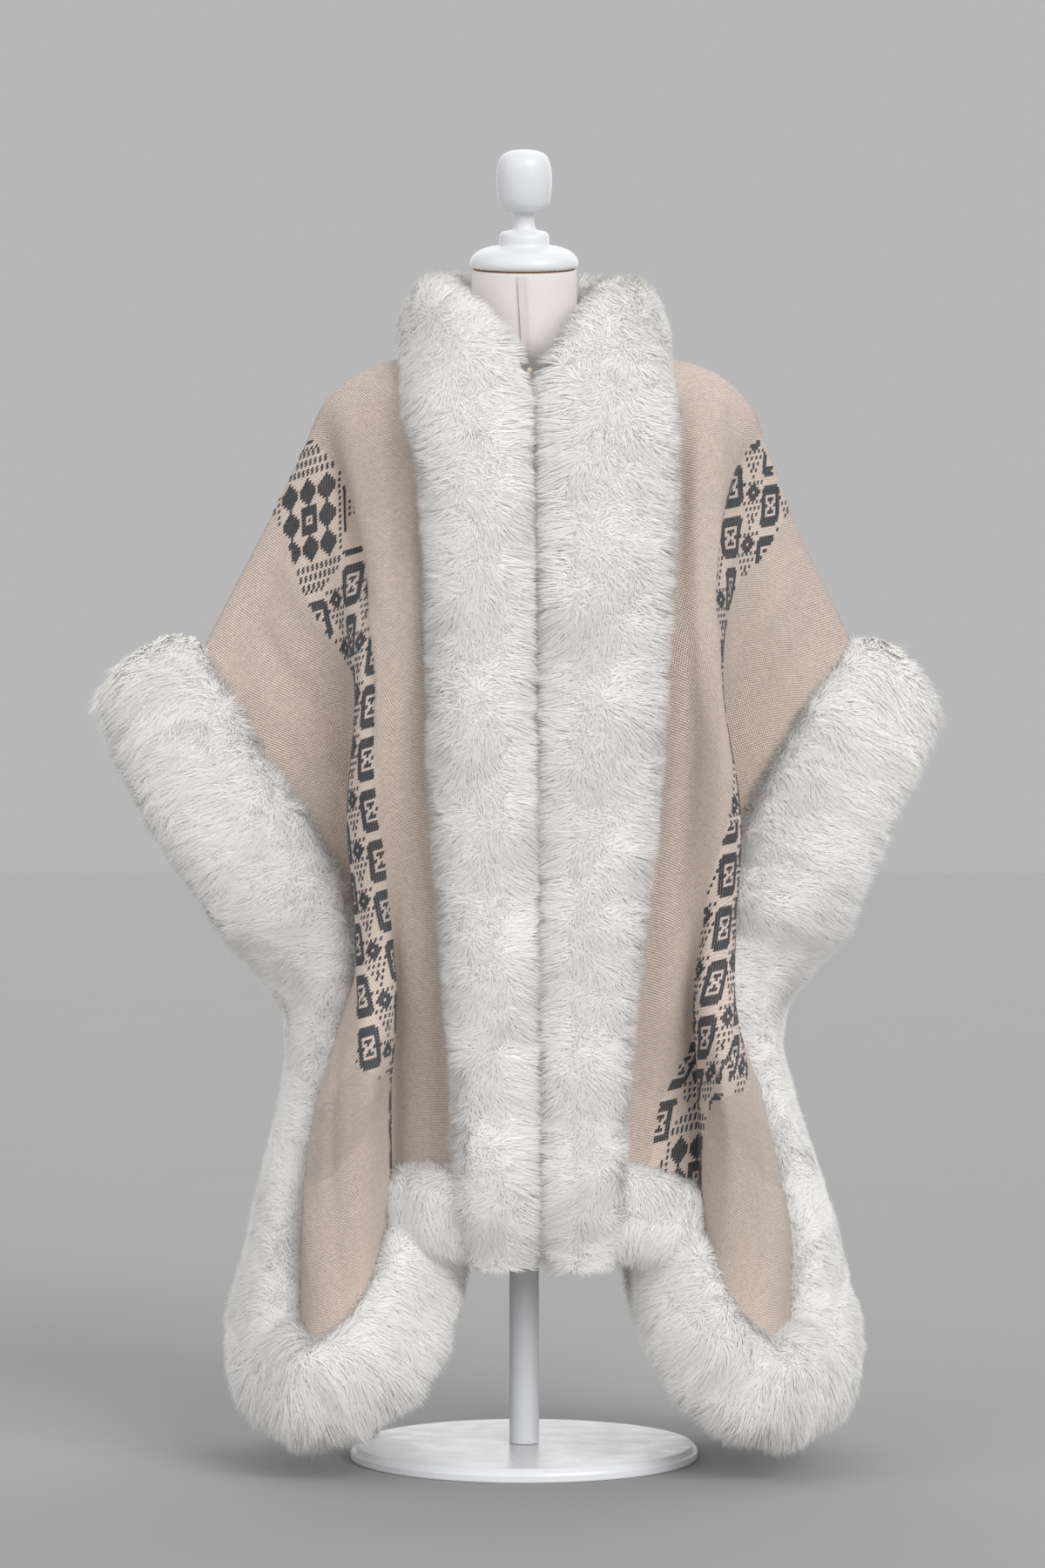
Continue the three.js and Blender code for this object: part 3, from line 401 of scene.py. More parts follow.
class StageSettings(bpy.types.PropertyGroup):
    """Floor, lights and camera."""

    floor: bpy.props.FloatVectorProperty(
        name="Floor", description="Colour of the floor and backdrop", default=(0.33, 0.33, 0.335), size=3,
        min=0, max=1, subtype="COLOR")
    key_power: bpy.props.FloatProperty(
        name="Key light", description="Strength of the main soft light", default=1.95, min=0)
    distance: bpy.props.FloatProperty(
        name="Camera distance", description="Distance of the camera from the form's axis", default=4.5,
        min=1, subtype="DISTANCE", unit="LENGTH")
    lens: bpy.props.FloatProperty(
        name="Lens", description="Focal length for a 36 mm long side", default=102.3, min=20,
        unit="CAMERA")


# ---------------------------------------------------------------- splines
def spline_weights(keys, at):
    """Rows of weights that turn the values at the keys into those of a smooth cubic at each place."""
    keys = np.asarray(keys, float)
    at = np.clip(np.atleast_1d(np.asarray(at, float)), keys[0], keys[-1])
    last = len(keys) - 1
    i = np.clip(np.searchsorted(keys, at) - 1, 0, last - 1)
    h = keys[i + 1] - keys[i]
    t = (at - keys[i]) / h
    weights = np.zeros((len(at), len(keys)))
    rows = np.arange(len(at))
    np.add.at(weights, (rows, i), 2 * t**3 - 3 * t**2 + 1)
    np.add.at(weights, (rows, i + 1), 3 * t**2 - 2 * t**3)
    for knot, share in ((i, t**3 - 2 * t**2 + t), (i + 1, t**3 - t**2)):
        before = np.maximum(knot - 1, 0)
        after = np.minimum(knot + 1, last)
        slope = share * h / (keys[after] - keys[before])
        np.add.at(weights, (rows, after), slope)
        np.add.at(weights, (rows, before), -slope)
    return weights


def spline(keys, values, at):
    return spline_weights(keys, at) @ np.asarray(values, float)


def unit(vectors):
    return vectors / np.maximum(np.linalg.norm(vectors, axis=-1, keepdims=True), 1e-9)


def dots(a, b):
    return (a * b).sum(-1, keepdims=True)


def smooth_step(value):
    t = np.clip(value, 0, 1)
    return t * t * (3 - 2 * t)


# ---------------------------------------------------------------- the sheets
FALL_KEYS = [-s for s in reversed(STATIONS)] + [0] + STATIONS


def drop_share(falls):
    return (np.hypot(falls, RIDGE) - RIDGE) / (math.hypot(1, RIDGE) - RIDGE)


def warp_points(side, falls):
    """Points of a side's warp lines, one row for each line; a fall below 0 is behind. In metres."""
    falls = np.asarray(falls, float)
    weights = spline_weights(FALL_KEYS, falls)
    points = []
    for (top_x, top_y, top_z, hem_z, xs), front, back in zip(WARP_LINES[side], FRONT_DEPTHS, BACK_DEPTHS):
        behind = [CAPE_CENTRE_X + (x - CAPE_CENTRE_X) * BACK_WIDTH for x in reversed(xs)]
        x = weights @ np.array(behind + [top_x] + xs)
        y = weights @ np.array(back[::-1] + [top_y] + front)
        points.append(np.stack([x, y, top_z - (top_z - hem_z) * drop_share(falls)], 1))
    return np.array(points) * MM


def back_points(falls):
    """Points of the warp lines across the whole back, from the left side edge to the right one."""
    falls = np.asarray(falls, float)
    y = spline([0] + STATIONS, [BACK_CENTRE["top_y"]] + BACK_CENTRE["y"], falls)
    z = BACK_CENTRE["top_z"] - (BACK_CENTRE["top_z"] - BACK_CENTRE["hem_z"]) * drop_share(falls)
    centre = np.stack([np.full_like(y, CAPE_CENTRE_X), y, z], 1)[None] * MM
    return np.concatenate([warp_points("left", -falls)[::-1], centre, warp_points("right", -falls)])


def sheet_points(lines_points, lines):
    """Points of a sheet: lines holds a warp line for each column and fall."""
    keys = np.arange(len(lines_points))
    rows = [spline_weights(keys, lines[:, j]) @ lines_points[:, j] for j in range(lines.shape[1])]
    return np.stack(rows, 1)


def sheet_normals(points, turn):
    along = np.gradient(points, axis=0)
    down = np.gradient(points, axis=1)
    return unit(np.cross(along, down)) * turn


def band_edges(part, falls):
    edges = BAND_EDGES[part]
    return [np.interp(falls, *edges[name]) for name in ("inner", "outer")]


def quarter_lines(part, falls, columns):
    """Warp lines of one quarter's columns by fall, and the columns between which the band lies."""
    inner, outer = band_edges(part, falls)
    counts = [round(columns * share) for share in QUARTER_SHARES]
    spans = [(0 * inner, inner), (inner, outer), (outer, 0 * outer + SIDE_LINE)]
    pieces = [a + (b - a) * (np.arange(n) / n)[:, None] for n, (a, b) in zip(counts, spans)]
    lines = np.concatenate([*pieces, np.full((1, len(falls)), float(SIDE_LINE))])
    return lines, counts[0], counts[0] + counts[1]


def cloth_coordinates(points, falls, start, end):
    """Distance across the cloth from the band's inner edge, true off the band and even on it; and along."""
    steps = np.linalg.norm(np.diff(points, axis=0), axis=2)
    arc = np.concatenate([np.zeros((1, points.shape[1])), np.cumsum(steps, 0)])
    u = arc - arc[start]
    band = BAND_WIDTH * MM * (np.arange(end - start + 1) / (end - start))[:, None]
    u[start : end + 1] = band
    u[end:] = BAND_WIDTH * MM + arc[end:] - arc[end]
    return u, np.broadcast_to(falls * CLOTH_DROP * MM, u.shape)


def creased(points, normals, lines, falls, creases):
    """The points pushed in and out along soft creases that fade towards both ends."""
    place = np.stack([lines * LINE_PITCH, np.broadcast_to(falls * CLOTH_DROP, lines.shape)], -1)
    depth = np.zeros(lines.shape)
    for line_a, fall_a, line_b, fall_b, half_width, deep in creases:
        a = np.array([line_a * LINE_PITCH, fall_a * CLOTH_DROP])
        b = np.array([line_b * LINE_PITCH, fall_b * CLOTH_DROP])
        t = np.clip(((place - a) @ (b - a)) / ((b - a) @ (b - a)), 0, 1)
        away = np.linalg.norm(place - (a + t[..., None] * (b - a)), axis=-1)
        depth += CREASE_DEPTH * deep * np.exp(-((away / half_width) ** 2)) * np.sin(np.pi * (0.08 + 0.84 * t))
    return points - normals * depth[..., None] * MM


SHEETS = {
    "front_left": {"part": "left", "turn": 1},
    "front_right": {"part": "right", "turn": -1},
}


def front_sheet(name, falls, columns):
    """Points, normals, cloth coordinates and band columns of a front panel."""
    part, turn = SHEETS[name]["part"], SHEETS[name]["turn"]
    lines, start, end = quarter_lines(part, falls, columns)
    points = sheet_points(warp_points(part, falls), lines)
    normals = sheet_normals(points, turn)
    points = creased(points, normals, lines, falls, CREASES[part])
    coordinates = cloth_coordinates(points, falls, start, end)
    return points, sheet_normals(points, turn), coordinates, (start, end)


def back_sheet(falls, columns):
    """The same for the back; its band columns are given for the left half and for the right one."""
    quarter, start, end = quarter_lines("back", falls, columns)
    left = SIDE_LINE - quarter[::-1]
    right = SIDE_LINE + 2 + quarter
    joint = np.full((1, len(falls)), float(SIDE_LINE + 1))
    lines = np.concatenate([left, joint, right])
    points = sheet_points(back_points(falls), lines)
    normals = sheet_normals(points, 1)
    mirrored = np.concatenate([quarter[::-1], joint * 0 - 1, quarter])
    points = creased(points, normals, mirrored, falls, CREASES["back"])
    half = len(quarter)
    spans = [(half - 1 - end, half - 1 - start), (half + 1 + start, half + 1 + end)]
    u_left, v = cloth_coordinates(points[half::-1], falls, start + 1, end + 1)
    u_right, _ = cloth_coordinates(points[half:], falls, start + 1, end + 1)
    u = np.concatenate([u_left[:0:-1], u_right])
    return points, sheet_normals(points, 1), (u, np.broadcast_to(v[0], u.shape)), spans


# ---------------------------------------------------------------- mesh helpers
def finish_object(name, mesh, material, smooth=True):
    mesh.materials.append(material)
    if smooth:
        mesh.polygons.foreach_set("use_smooth", [True] * len(mesh.polygons))
    piece = bpy.data.objects.new(name, mesh)
    bpy.context.scene.collection.objects.link(piece)
    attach(piece, "root")
    return piece


def edited(mesh, change):
    """The mesh after change has worked on it as a bmesh."""
    made = bmesh.new()
    made.from_mesh(mesh)
    change(made)
    made.to_mesh(mesh)
    made.free()
    return mesh


def mesh_of(name, build):
    """A mesh made by a bmesh, which build fills."""
    return edited(bpy.data.meshes.new(name), build)


def weld(made):
    bmesh.ops.remove_doubles(made, verts=made.verts, dist=WELD_DISTANCE)
    bmesh.ops.recalc_face_normals(made, faces=made.faces)


def grid_mesh(name, points, uv=None):
    """A grid whose vertices lie on the given columns and rows of points."""
    columns, rows = points.shape[:2]
    mesh = mesh_of(name, lambda made: bmesh.ops.create_grid(
        made, x_segments=columns - 1, y_segments=rows - 1, size=1, calc_uvs=False))
    flat = np.zeros(columns * rows * 3)
    mesh.vertices.foreach_get("co", flat)
    flat = flat.reshape(-1, 3)
    column, row = (np.rint((flat[:, k] + 1) / 2 * (n - 1)).astype(int) for k, n in enumerate((columns, rows)))
    mesh.vertices.foreach_set("co", points[column, row].astype(np.float32).ravel())
    if uv is not None:
        layer = mesh.uv_layers.new(name="cloth")
        corners = np.zeros(len(mesh.loops), np.int32)
        mesh.loops.foreach_get("vertex_index", corners)
        pairs = np.stack([uv[0][column, row], uv[1][column, row]], 1)[corners]
        layer.data.foreach_set("uv", pairs.astype(np.float32).ravel())
    mesh.update()
    return mesh


def closed_mesh(name, points):
    """A tube from a grid that is wrapped round, with both its ends drawn in to a point."""
    ends = [points[i].mean(0)[None, None] + np.zeros((1, points.shape[1], 3)) for i in (0, -1)]
    return edited(grid_mesh(name, np.concatenate([ends[0], points, ends[1]])), weld)


def triangle_mesh(name, points, faces, normals=None, attributes=None):
    """A mesh of many small joined pieces from arrays."""
    mesh = bpy.data.meshes.new(name)
    mesh.vertices.add(len(points))
    mesh.vertices.foreach_set("co", points.astype(np.float32).ravel())
    mesh.loops.add(faces.size)
    mesh.loops.foreach_set("vertex_index", faces.astype(np.int32).ravel())
    mesh.polygons.add(len(faces))
    mesh.polygons.foreach_set("loop_start", np.arange(0, faces.size, 3, dtype=np.int32))
    mesh.update(calc_edges=True)
    mesh.polygons.foreach_set("use_smooth", np.ones(len(faces), bool))
    for key, values in (attributes or {}).items():
        mesh.attributes.new(key, "FLOAT", "POINT").data.foreach_set("value", values.astype(np.float32))
    if normals is not None:
        mesh.normals_split_custom_set_from_vertices(normals.astype(np.float32))
    return mesh


def turned_mesh(name, profile, segments, place=None):
    """A profile of radius and height spun round +Z, then placed."""

    def build(made):
        points = [made.verts.new((r * MM, 0, h * MM)) for r, h in profile]
        edges = [made.edges.new(pair) for pair in zip(points, points[1:])]
        bmesh.ops.spin(
            made, geom=points + edges, cent=(0, 0, 0), axis=(0, 0, 1), angle=2 * math.pi,
            steps=segments, use_merge=True)
        weld(made)
        if place is not None:
            bmesh.ops.transform(made, matrix=place, verts=made.verts)

    return mesh_of(name, build)


# ---------------------------------------------------------------- materials
def fill(tree, sockets, values):
    """Links or sets each socket that is named."""
    for name, value in values.items():
        if isinstance(value, bpy.types.NodeSocket):
            tree.links.new(value, sockets[name])
        else:
            sockets[name].default_value = value


def add_node(tree, kind, inputs=None, **settings):
    made = tree.nodes.new(kind)
    for name, value in settings.items():
        setattr(made, name, value)
    fill(tree, made.inputs, inputs or {})
    return made


def calculate(tree, operation, *values):
    return add_node(tree, "ShaderNodeMath", dict(enumerate(values)), operation=operation).outputs[0]


def mixed(tree, share, first, second):
    """A colour between two."""
    first, second = (
        end if isinstance(end, bpy.types.NodeSocket) else (*end[:3], 1) for end in (first, second))
    return add_node(tree, "ShaderNodeMix", {0: share, 6: first, 7: second}, data_type="RGBA").outputs[2]


def ranged(tree, value, low, high, new_low, new_high):
    return add_node(tree, "ShaderNodeMapRange", {
        "Value": value, "From Min": low, "From Max": high, "To Min": new_low, "To Max": new_high}).outputs[0]


def blended(tree, mask, amount, first, second, low=0.3, high=0.7):
    """The first colour, with up to the given amount of the second where the mask is high."""
    return mixed(tree, ranged(tree, mask, low, high, 0.0, amount), first, second)


def tinted(colour, *shares):
    """A colour with each channel, or all of them, taken by a share."""
    return [c * share for c, share in zip(colour, shares * 3 if len(shares) == 1 else shares)]


def noise(tree, vector, scale, detail=2.0, roughness=0.5):
    return add_node(tree, "ShaderNodeTexNoise", {
        "Vector": vector, "Scale": scale, "Detail": detail, "Roughness": roughness}).outputs[0]


def object_place(tree):
    return add_node(tree, "ShaderNodeTexCoord").outputs["Object"]


def named_group(name, inputs, outputs, build):
    """A shader group with named sockets, which build fills; it's made once and then found by its name."""
    if name in bpy.data.node_groups:
        return bpy.data.node_groups[name]
    tree = bpy.data.node_groups.new(name, "ShaderNodeTree")
    tree.interface.new_socket(name="Vector", in_out="INPUT", socket_type="NodeSocketVector")
    for socket, default in inputs.items():
        made = tree.interface.new_socket(name=socket, in_out="INPUT", socket_type="NodeSocketFloat")
        made.default_value = default
    for socket in outputs:
        tree.interface.new_socket(name=socket, in_out="OUTPUT", socket_type="NodeSocketFloat")
    given, out = tree.nodes.new("NodeGroupInput").outputs, tree.nodes.new("NodeGroupOutput").inputs
    fill(tree, out, build(tree, given))
    return tree


def stitch_group():
    """Slanted stitches in offset rows: how high the yarn stands, and which stitches are a shade darker."""

    def build(tree, given):
        calc = partial(calculate, tree)

        def rounded(value, power):
            return calc("SUBTRACT", 1.0, calc("POWER", calc("ABSOLUTE", calc("MULTIPLY", value, 2.0)), power))

        split = add_node(tree, "ShaderNodeSeparateXYZ", {"Vector": given["Vector"]}).outputs
        across = calc("DIVIDE", split["X"], given["Width"])
        along = calc("DIVIDE", split["Y"], given["Height"])
        row = calc("FLOOR", along)
        in_row = calc("SUBTRACT", calc("FRACT", along), 0.5)
        shifted = calc("ADD", across, calc("MULTIPLY", row, 0.5))
        leaning = calc("ADD", shifted, calc("MULTIPLY", in_row, given["Slant"]))
        in_stitch = calc("SUBTRACT", calc("FRACT", leaning), 0.5)
        cell = add_node(tree, "ShaderNodeCombineXYZ", {"X": calc("FLOOR", leaning), "Y": row}).outputs[0]
        shade = add_node(tree, "ShaderNodeTexWhiteNoise", {"Vector": cell}, noise_dimensions="2D").outputs[0]
        return {"Relief": calc("MULTIPLY", rounded(in_stitch, 2.0), rounded(in_row, 3.0)), "Shade": shade}

    defaults = {"Width": 0.002, "Height": 0.002, "Slant": 0.5}
    return named_group("slanted stitches", defaults, ["Relief", "Shade"], build)


def wear_group():
    """Fine brush marks and dust for painted surfaces."""

    def build(tree, given):
        vector, scale = given["Vector"], given["Scale"]
        stretched = add_node(tree, "ShaderNodeMapping", {"Vector": vector, "Scale": (1, 1, 5)}).outputs[0]
        broad = noise(tree, vector, calculate(tree, "DIVIDE", scale, 4.0), 3.0)
        dust = ranged(tree, broad, 0.35, 0.75, 0.0, 1.0)
        return {"Marks": noise(tree, stretched, scale, 5.0, 0.62), "Dust": dust}

    return named_group("paint wear", {"Scale": 60.0}, ["Marks", "Dust"], build)


def new_material(name):
    """A material with only a Principled shader and its output."""
    made = bpy.data.materials.new(name)
    made.use_nodes = True
    tree = made.node_tree
    tree.nodes.clear()
    shader = tree.nodes.new("ShaderNodeBsdfPrincipled")
    output = tree.nodes.new("ShaderNodeOutputMaterial")
    tree.links.new(shader.outputs[0], output.inputs[0])
    return made, tree, shader.inputs


def relief(tree, height, distance, strength=1.0):
    return add_node(tree, "ShaderNodeBump", {
        "Height": height, "Distance": distance, "Strength": strength}).outputs[0]


def wool_material(name, colour, contrast, sheen):
    """Wool yarn: slanted stitches by the cloth's own map, darkened in the hollows between stitches as painted
    shade, flecked and softly uneven.
    """
    made, tree, shader = new_material(name)
    uv = add_node(tree, "ShaderNodeUVMap", uv_map="cloth").outputs[0]
    stitches = add_node(tree, "ShaderNodeGroup", {
        "Vector": uv, "Width": 0.0024, "Height": 0.0026, "Slant": 0.75}, node_tree=stitch_group()).outputs
    place = object_place(tree)
    broad = noise(tree, place, 9.0, 3.0, 0.55)
    fibre = noise(tree, place, 900.0, 3.0, 0.7)
    light = [min(c * (1 + contrast * 0.35), 1) for c in colour]
    # Where the stitch relief is low the colour darkens by the contrast: painted shade in the hollows between
    # stitches.
    yarn = blended(tree, stitches["Relief"], 1.0, tinted(colour, 1 - contrast), colour, 0.12, 0.72)
    flecked = mixed(tree, calculate(tree, "MULTIPLY", stitches["Shade"], 0.45), yarn, light)
    across = add_node(tree, "ShaderNodeSeparateXYZ", {"Vector": uv}).outputs["X"]
    edge, width = 0.002, BAND_WIDTH * MM
    in_band = calculate(tree, "MULTIPLY", ranged(tree, across, 0.0, edge, 0.0, 0.5),
                        ranged(tree, across, width - edge, width, 1.0, 0.0))
    uneven = blended(tree, broad, 0.22, mixed(tree, in_band, flecked, light), tinted(colour, 0.86))
    height = calculate(tree, "ADD", stitches["Relief"], calculate(tree, "MULTIPLY", fibre, 0.5))
    fill(tree, shader, {
        "Base Color": blended(tree, fibre, 0.25, uneven, light, 0.35, 0.75),
        "Roughness": ranged(tree, fibre, 0.2, 0.8, 0.82, 0.98),
        "Sheen Weight": sheen, "Sheen Roughness": 0.55, "Specular IOR Level": 0.2,
        "Normal": relief(tree, height, 0.0012)})
    return made


def pile_material(settings):
    """Long fur: near white at its tips and darker cream towards its roots, which is painted shade of the
    pile's depth, with faint locks.
    """
    made, tree, shader = new_material("long fur")
    depth, lock = (add_node(tree, "ShaderNodeAttribute", attribute_name=name).outputs["Fac"]
                   for name in ("pile", "lock"))
    patch = noise(tree, object_place(tree), 14.0, 3.0, 0.5)
    tip = blended(tree, patch, 0.35, settings.tip, tinted(settings.tip, 0.985, 0.955, 0.90), 0.35)
    # Hairs darken from tip to root by the pile attribute: painted shade in the depth of the pile.
    shaded = mixed(tree, calculate(tree, "POWER", depth, 0.6), settings.root, tip)
    in_lock = calculate(tree, "MULTIPLY", lock, 0.16)
    fill(tree, shader, {
        "Base Color": mixed(tree, in_lock, shaded, tinted(settings.root, 0.80)),
        "Roughness": ranged(tree, patch, 0.3, 0.7, 0.75, 0.9),
        "Sheen Weight": 0.35, "Sheen Roughness": 0.4, "Specular IOR Level": 0.25,
        # The faint emission is a painted glow that lifts the pile's shadows; the fur is no lamp.
        "Emission Color": (0.95, 0.94, 0.92, 1), "Emission Strength": 0.07})
    return made


def skin_material(settings):
    """The dense under-fur that shows between the locks."""
    made, tree, shader = new_material("under-fur")
    place = object_place(tree)
    strand = noise(tree, place, 260.0, 4.0, 0.65)
    base = blended(tree, noise(tree, place, 18.0), 0.5, settings.root, settings.tip)
    fill(tree, shader, {
        "Base Color": blended(tree, strand, 0.6, base, tinted(settings.root, 0.75)),
        "Roughness": ranged(tree, strand, 0.3, 0.7, 0.8, 1.0),
        "Normal": relief(tree, strand, 0.004)})
    return made


def cotton_material(name, colour, thread, strength):
    """Plain woven cotton in object coordinates."""
    made, tree, shader = new_material(name)
    place = object_place(tree)
    split = add_node(tree, "ShaderNodeSeparateXYZ", {"Vector": place}).outputs
    around = calculate(tree, "ARCTAN2", split["X"], split["Y"])
    weft, warp = (calculate(tree, "SINE", calculate(tree, "MULTIPLY", way, 2 * math.pi * reach / thread))
                  for way, reach in ((split["Z"], 1), (around, 0.05)))
    slub = noise(tree, place, 420.0, 4.0, 0.6)
    base = blended(tree, slub, 0.35, colour, tinted(colour, 0.9))
    height = calculate(tree, "ADD", calculate(tree, "MULTIPLY", weft, warp), slub)
    fill(tree, shader, {
        "Base Color": blended(tree, noise(tree, place, 12.0), 0.3, base, tinted(colour, 0.97, 0.95, 0.92)),
        "Roughness": ranged(tree, slub, 0.2, 0.8, 0.75, 0.95),
        "Sheen Weight": 0.2, "Normal": relief(tree, height, 0.00012, strength)})
    return made


def paint_material(name, colour, roughness, scale):
    """Satin paint with brush marks and a little dust."""
    made, tree, shader = new_material(name)
    wear = add_node(tree, "ShaderNodeGroup", {"Vector": object_place(tree), "Scale": scale},
                    node_tree=wear_group()).outputs
    dust = calculate(tree, "MULTIPLY", wear["Dust"], 0.35)
    fill(tree, shader, {
        "Base Color": mixed(tree, dust, colour, tinted(colour, 0.90, 0.88, 0.84)),
        "Roughness": ranged(tree, wear["Marks"], 0.3, 0.7, roughness - 0.08, roughness + 0.12),
        "Coat Weight": 0.2, "Coat Roughness": 0.25, "Normal": relief(tree, wear["Marks"], 0.0004, 0.6)})
    return made


def board_material():
    """Bare brown board at the neck's top."""
    made, tree, shader = new_material("brown board")
    grain = add_node(tree, "ShaderNodeTexWave", {
        "Vector": object_place(tree), "Scale": 60.0, "Distortion": 6.0, "Detail": 3.0}).outputs["Fac"]
    fill(tree, shader, {
        "Base Color": mixed(tree, grain, (0.16, 0.08, 0.04), (0.30, 0.17, 0.09)),
        "Roughness": ranged(tree, grain, 0.0, 1.0, 0.6, 0.85), "Normal": relief(tree, grain, 0.0003)})
    return made


def pearl_material():
    """A cream imitation pearl with a soft lustre and faint swirls."""
    made, tree, shader = new_material("imitation pearl")
    swirl = noise(tree, object_place(tree), 500.0)
    fill(tree, shader, {
        "Base Color": blended(tree, swirl, 1.0, (0.83, 0.74, 0.52), (0.90, 0.84, 0.70)),
        "Roughness": ranged(tree, swirl, 0.3, 0.7, 0.16, 0.26), "Coat Weight": 0.6})
    return made


def studio_material(colour):
    """Matt painted floor and backdrop."""
    made, tree, shader = new_material("studio floor")
    speck = noise(tree, object_place(tree), 3.0)
    fill(tree, shader, {
        "Base Color": blended(tree, speck, 0.2, colour, tinted(colour, 0.94)), "Roughness": 0.9})
    return made


# ---------------------------------------------------------------- fur
def trim_rings(first, last, count):
    """Ring centres and half-axes of the long trim between two of its rows, in metres."""
    centres = np.array([row[:3] for row in TRIM], float)
    keys = np.concatenate([[0], np.cumsum(np.linalg.norm(np.diff(centres, axis=0), axis=1))])
    at = np.linspace(keys[first], keys[last], count + 1)
    place = spline(keys, centres, at)
    tangent = unit(spline(keys, centres, at + 1) - spline(keys, centres, at - 1))
    face = spline(keys, [row[5] for row in TRIM], at)
    wide = unit(np.cross(face, tangent))
    thick = unit(np.cross(tangent, wide))
    half_width = spline(keys, [row[3] for row in TRIM], at)[:, None]
    half_thick = spline(keys, [row[4] for row in TRIM], at)[:, None]
    return place * MM, wide * half_width * MM, thick * half_thick * MM


def reach_out(table, at, sign, depth):
    sideways, outwards, up = (float(spline(table["keys"], table[name], at)[0])
                              for name in ("sideways", "outwards", "up"))
    return unit(np.array([sign * sideways, depth * outwards, up]))


def edge_point(side, behind, line, fall):
    """A point of the cloth's edge, in millimetres; behind, line counts on from the front edge's line."""
    fall = np.clip(fall, 0, 1)
    if not behind:
        return sheet_points(warp_points(side, [fall]), np.array([[line]]))[0, 0] / MM
    across = SIDE_LINE - line if side == "left" else SIDE_LINE + 2 + line
    return sheet_points(back_points([fall]), np.array([[across]]))[0, 0] / MM


def quarter_stops(side, behind):
    """Edge point, way out and half-sizes of each ring, from the middle of the bottom up to the arm's end."""
    sign = -1 if side == "left" else 1
    depth = 1 if behind else -1
    stops = []
    start = -1 if behind else 0.2
    for i in range(BOTTOM_COUNT):
        line = start + (SIDE_LINE - CORNER_LINES - start) * i / (BOTTOM_COUNT - 1)
        share = smooth_step((line - 3) / 4)
        size = [a + (b - a) * share for a, b in zip(HEM_SIZE, CORNER_SIZE)]
        stops.append((edge_point(side, behind, line, 1), reach_out(BOTTOM_OUT, line, sign, depth), size))
    down = reach_out(BOTTOM_OUT, SIDE_LINE, sign, depth)
    away = reach_out(SIDE_OUT[side], 1, sign, depth)
    hub = edge_point(side, behind, SIDE_LINE, 1) - unit(down + away) * CLOTH_INSET
    for turn in CORNER_TURNS:
        out = unit(down + (away - down) * turn)
        stops.append((hub + out * (CLOTH_INSET + CORNER_SWING), out, CORNER_SIZE))
    for i in range(SIDE_COUNT):
        fall = (1 - CORNER_FALL) * (1 - i / (SIDE_COUNT - 1))
        size = [float(spline(SIDE_SIZE[0], values, fall)[0]) for values in SIDE_SIZE[1:]]
        out = reach_out(SIDE_OUT[side], fall, sign, depth)
        stops.append((edge_point(side, behind, SIDE_LINE, fall), out, size))
    return stops


def sewn_rings(stops):
    edge, out = (np.array([stop[k] for stop in stops]) for k in (0, 1))
    size = np.array([stop[2] for stop in stops], float)
    centres = edge + out * (size[:, :1] - CLOTH_INSET)
    padded = np.concatenate([centres[:1], centres, centres[-1:]])
    tangent = unit(padded[2:] - padded[:-2])
    wide = unit(out - tangent * dots(out, tangent))
    thick = np.cross(tangent, wide)
    return centres * MM, wide * size[:, :1] * MM, thick * size[:, 1:] * MM


def edge_rings(side):
    return sewn_rings(quarter_stops(side, False) + quarter_stops(side, True)[::-1][1:])


def cut(rings, first, last):
    return tuple(values[first:last] for values in rings)


def fur_strips():
    """The rings of every strip, by the node that it stands for."""
    edges = {side: edge_rings(side) for side in ("left", "right")}
    corner = BOTTOM_COUNT + len(CORNER_TURNS) // 2
    arm = BOTTOM_COUNT + len(CORNER_TURNS) + SIDE_COUNT - 1
    total = len(edges["left"][0])
    back_corner = total - 1 - corner
    left_half = cut(edges["left"], back_corner, total)
    centre, wide, thick = (values[::-1] for values in cut(edges["right"], back_corner, total - 1))
    strips = {
        "fur_collar": trim_rings(*COLLAR_SEAMS, COLLAR_RINGS),
        "fur_front_left": trim_rings(0, COLLAR_SEAMS[0], FRONT_RINGS),
        "fur_front_right": trim_rings(COLLAR_SEAMS[1], len(TRIM) - 1, FRONT_RINGS),
        "fur_hem_back": tuple(np.concatenate(pair) for pair in zip(left_half, (centre, wide, -thick))),
    }
    for side in ("left", "right"):
        strips[f"fur_hem_front_{side}"] = cut(edges[side], 0, corner + 1)
        strips[f"fur_side_front_{side}"] = cut(edges[side], corner, arm + 1)
        strips[f"fur_side_back_{side}"] = cut(edges[side], arm, back_corner + 1)
    return strips


def ring_offset(wide, thick, angle, power):
    """A mix of half-axes for each angle round a rounded section."""
    c, s = np.cos(angle)[..., None], np.sin(angle)[..., None]
    return np.sign(c) * np.abs(c) ** power * wide + np.sign(s) * np.abs(s) ** power * thick


def strip_surface(rings, along, angle):
    """Centre, offset to the pile's outer skin, its normal, and the strip's outward axis at each place."""
    centre, wide, thick = (sample(values, along) for values in rings)
    offset = ring_offset(wide, thick, angle, 2 / SQUARENESS)
    normal = unit(ring_offset(wide / dots(wide, wide), thick / dots(thick, thick), angle, 2 - 2 / SQUARENESS))
    return centre, offset, normal, unit(wide)


def true_normal(rings, along, angle, outward):
    """The normal of the skin itself, which leans from the section's own where a strip bends or narrows."""
    last, step, turn = len(rings[0]) - 1, 0.3, 0.06

    def place(at, round_at):
        centre, offset, _, _ = strip_surface(rings, at, round_at)
        return centre + offset

    ahead = place(np.minimum(along + step, last), angle) - place(np.maximum(along - step, 0), angle)
    normal = np.cross(place(along, angle + turn) - place(along, angle - turn), ahead)
    return unit(normal * np.sign(dots(normal, outward)) + outward * 1e-9)


def sample(values, along):
    i = np.clip(along.astype(int), 0, len(values) - 2)
    t = (along - i).reshape(along.shape + (1,) * (values.ndim - 1))
    return values[i] * (1 - t) + values[i + 1] * t


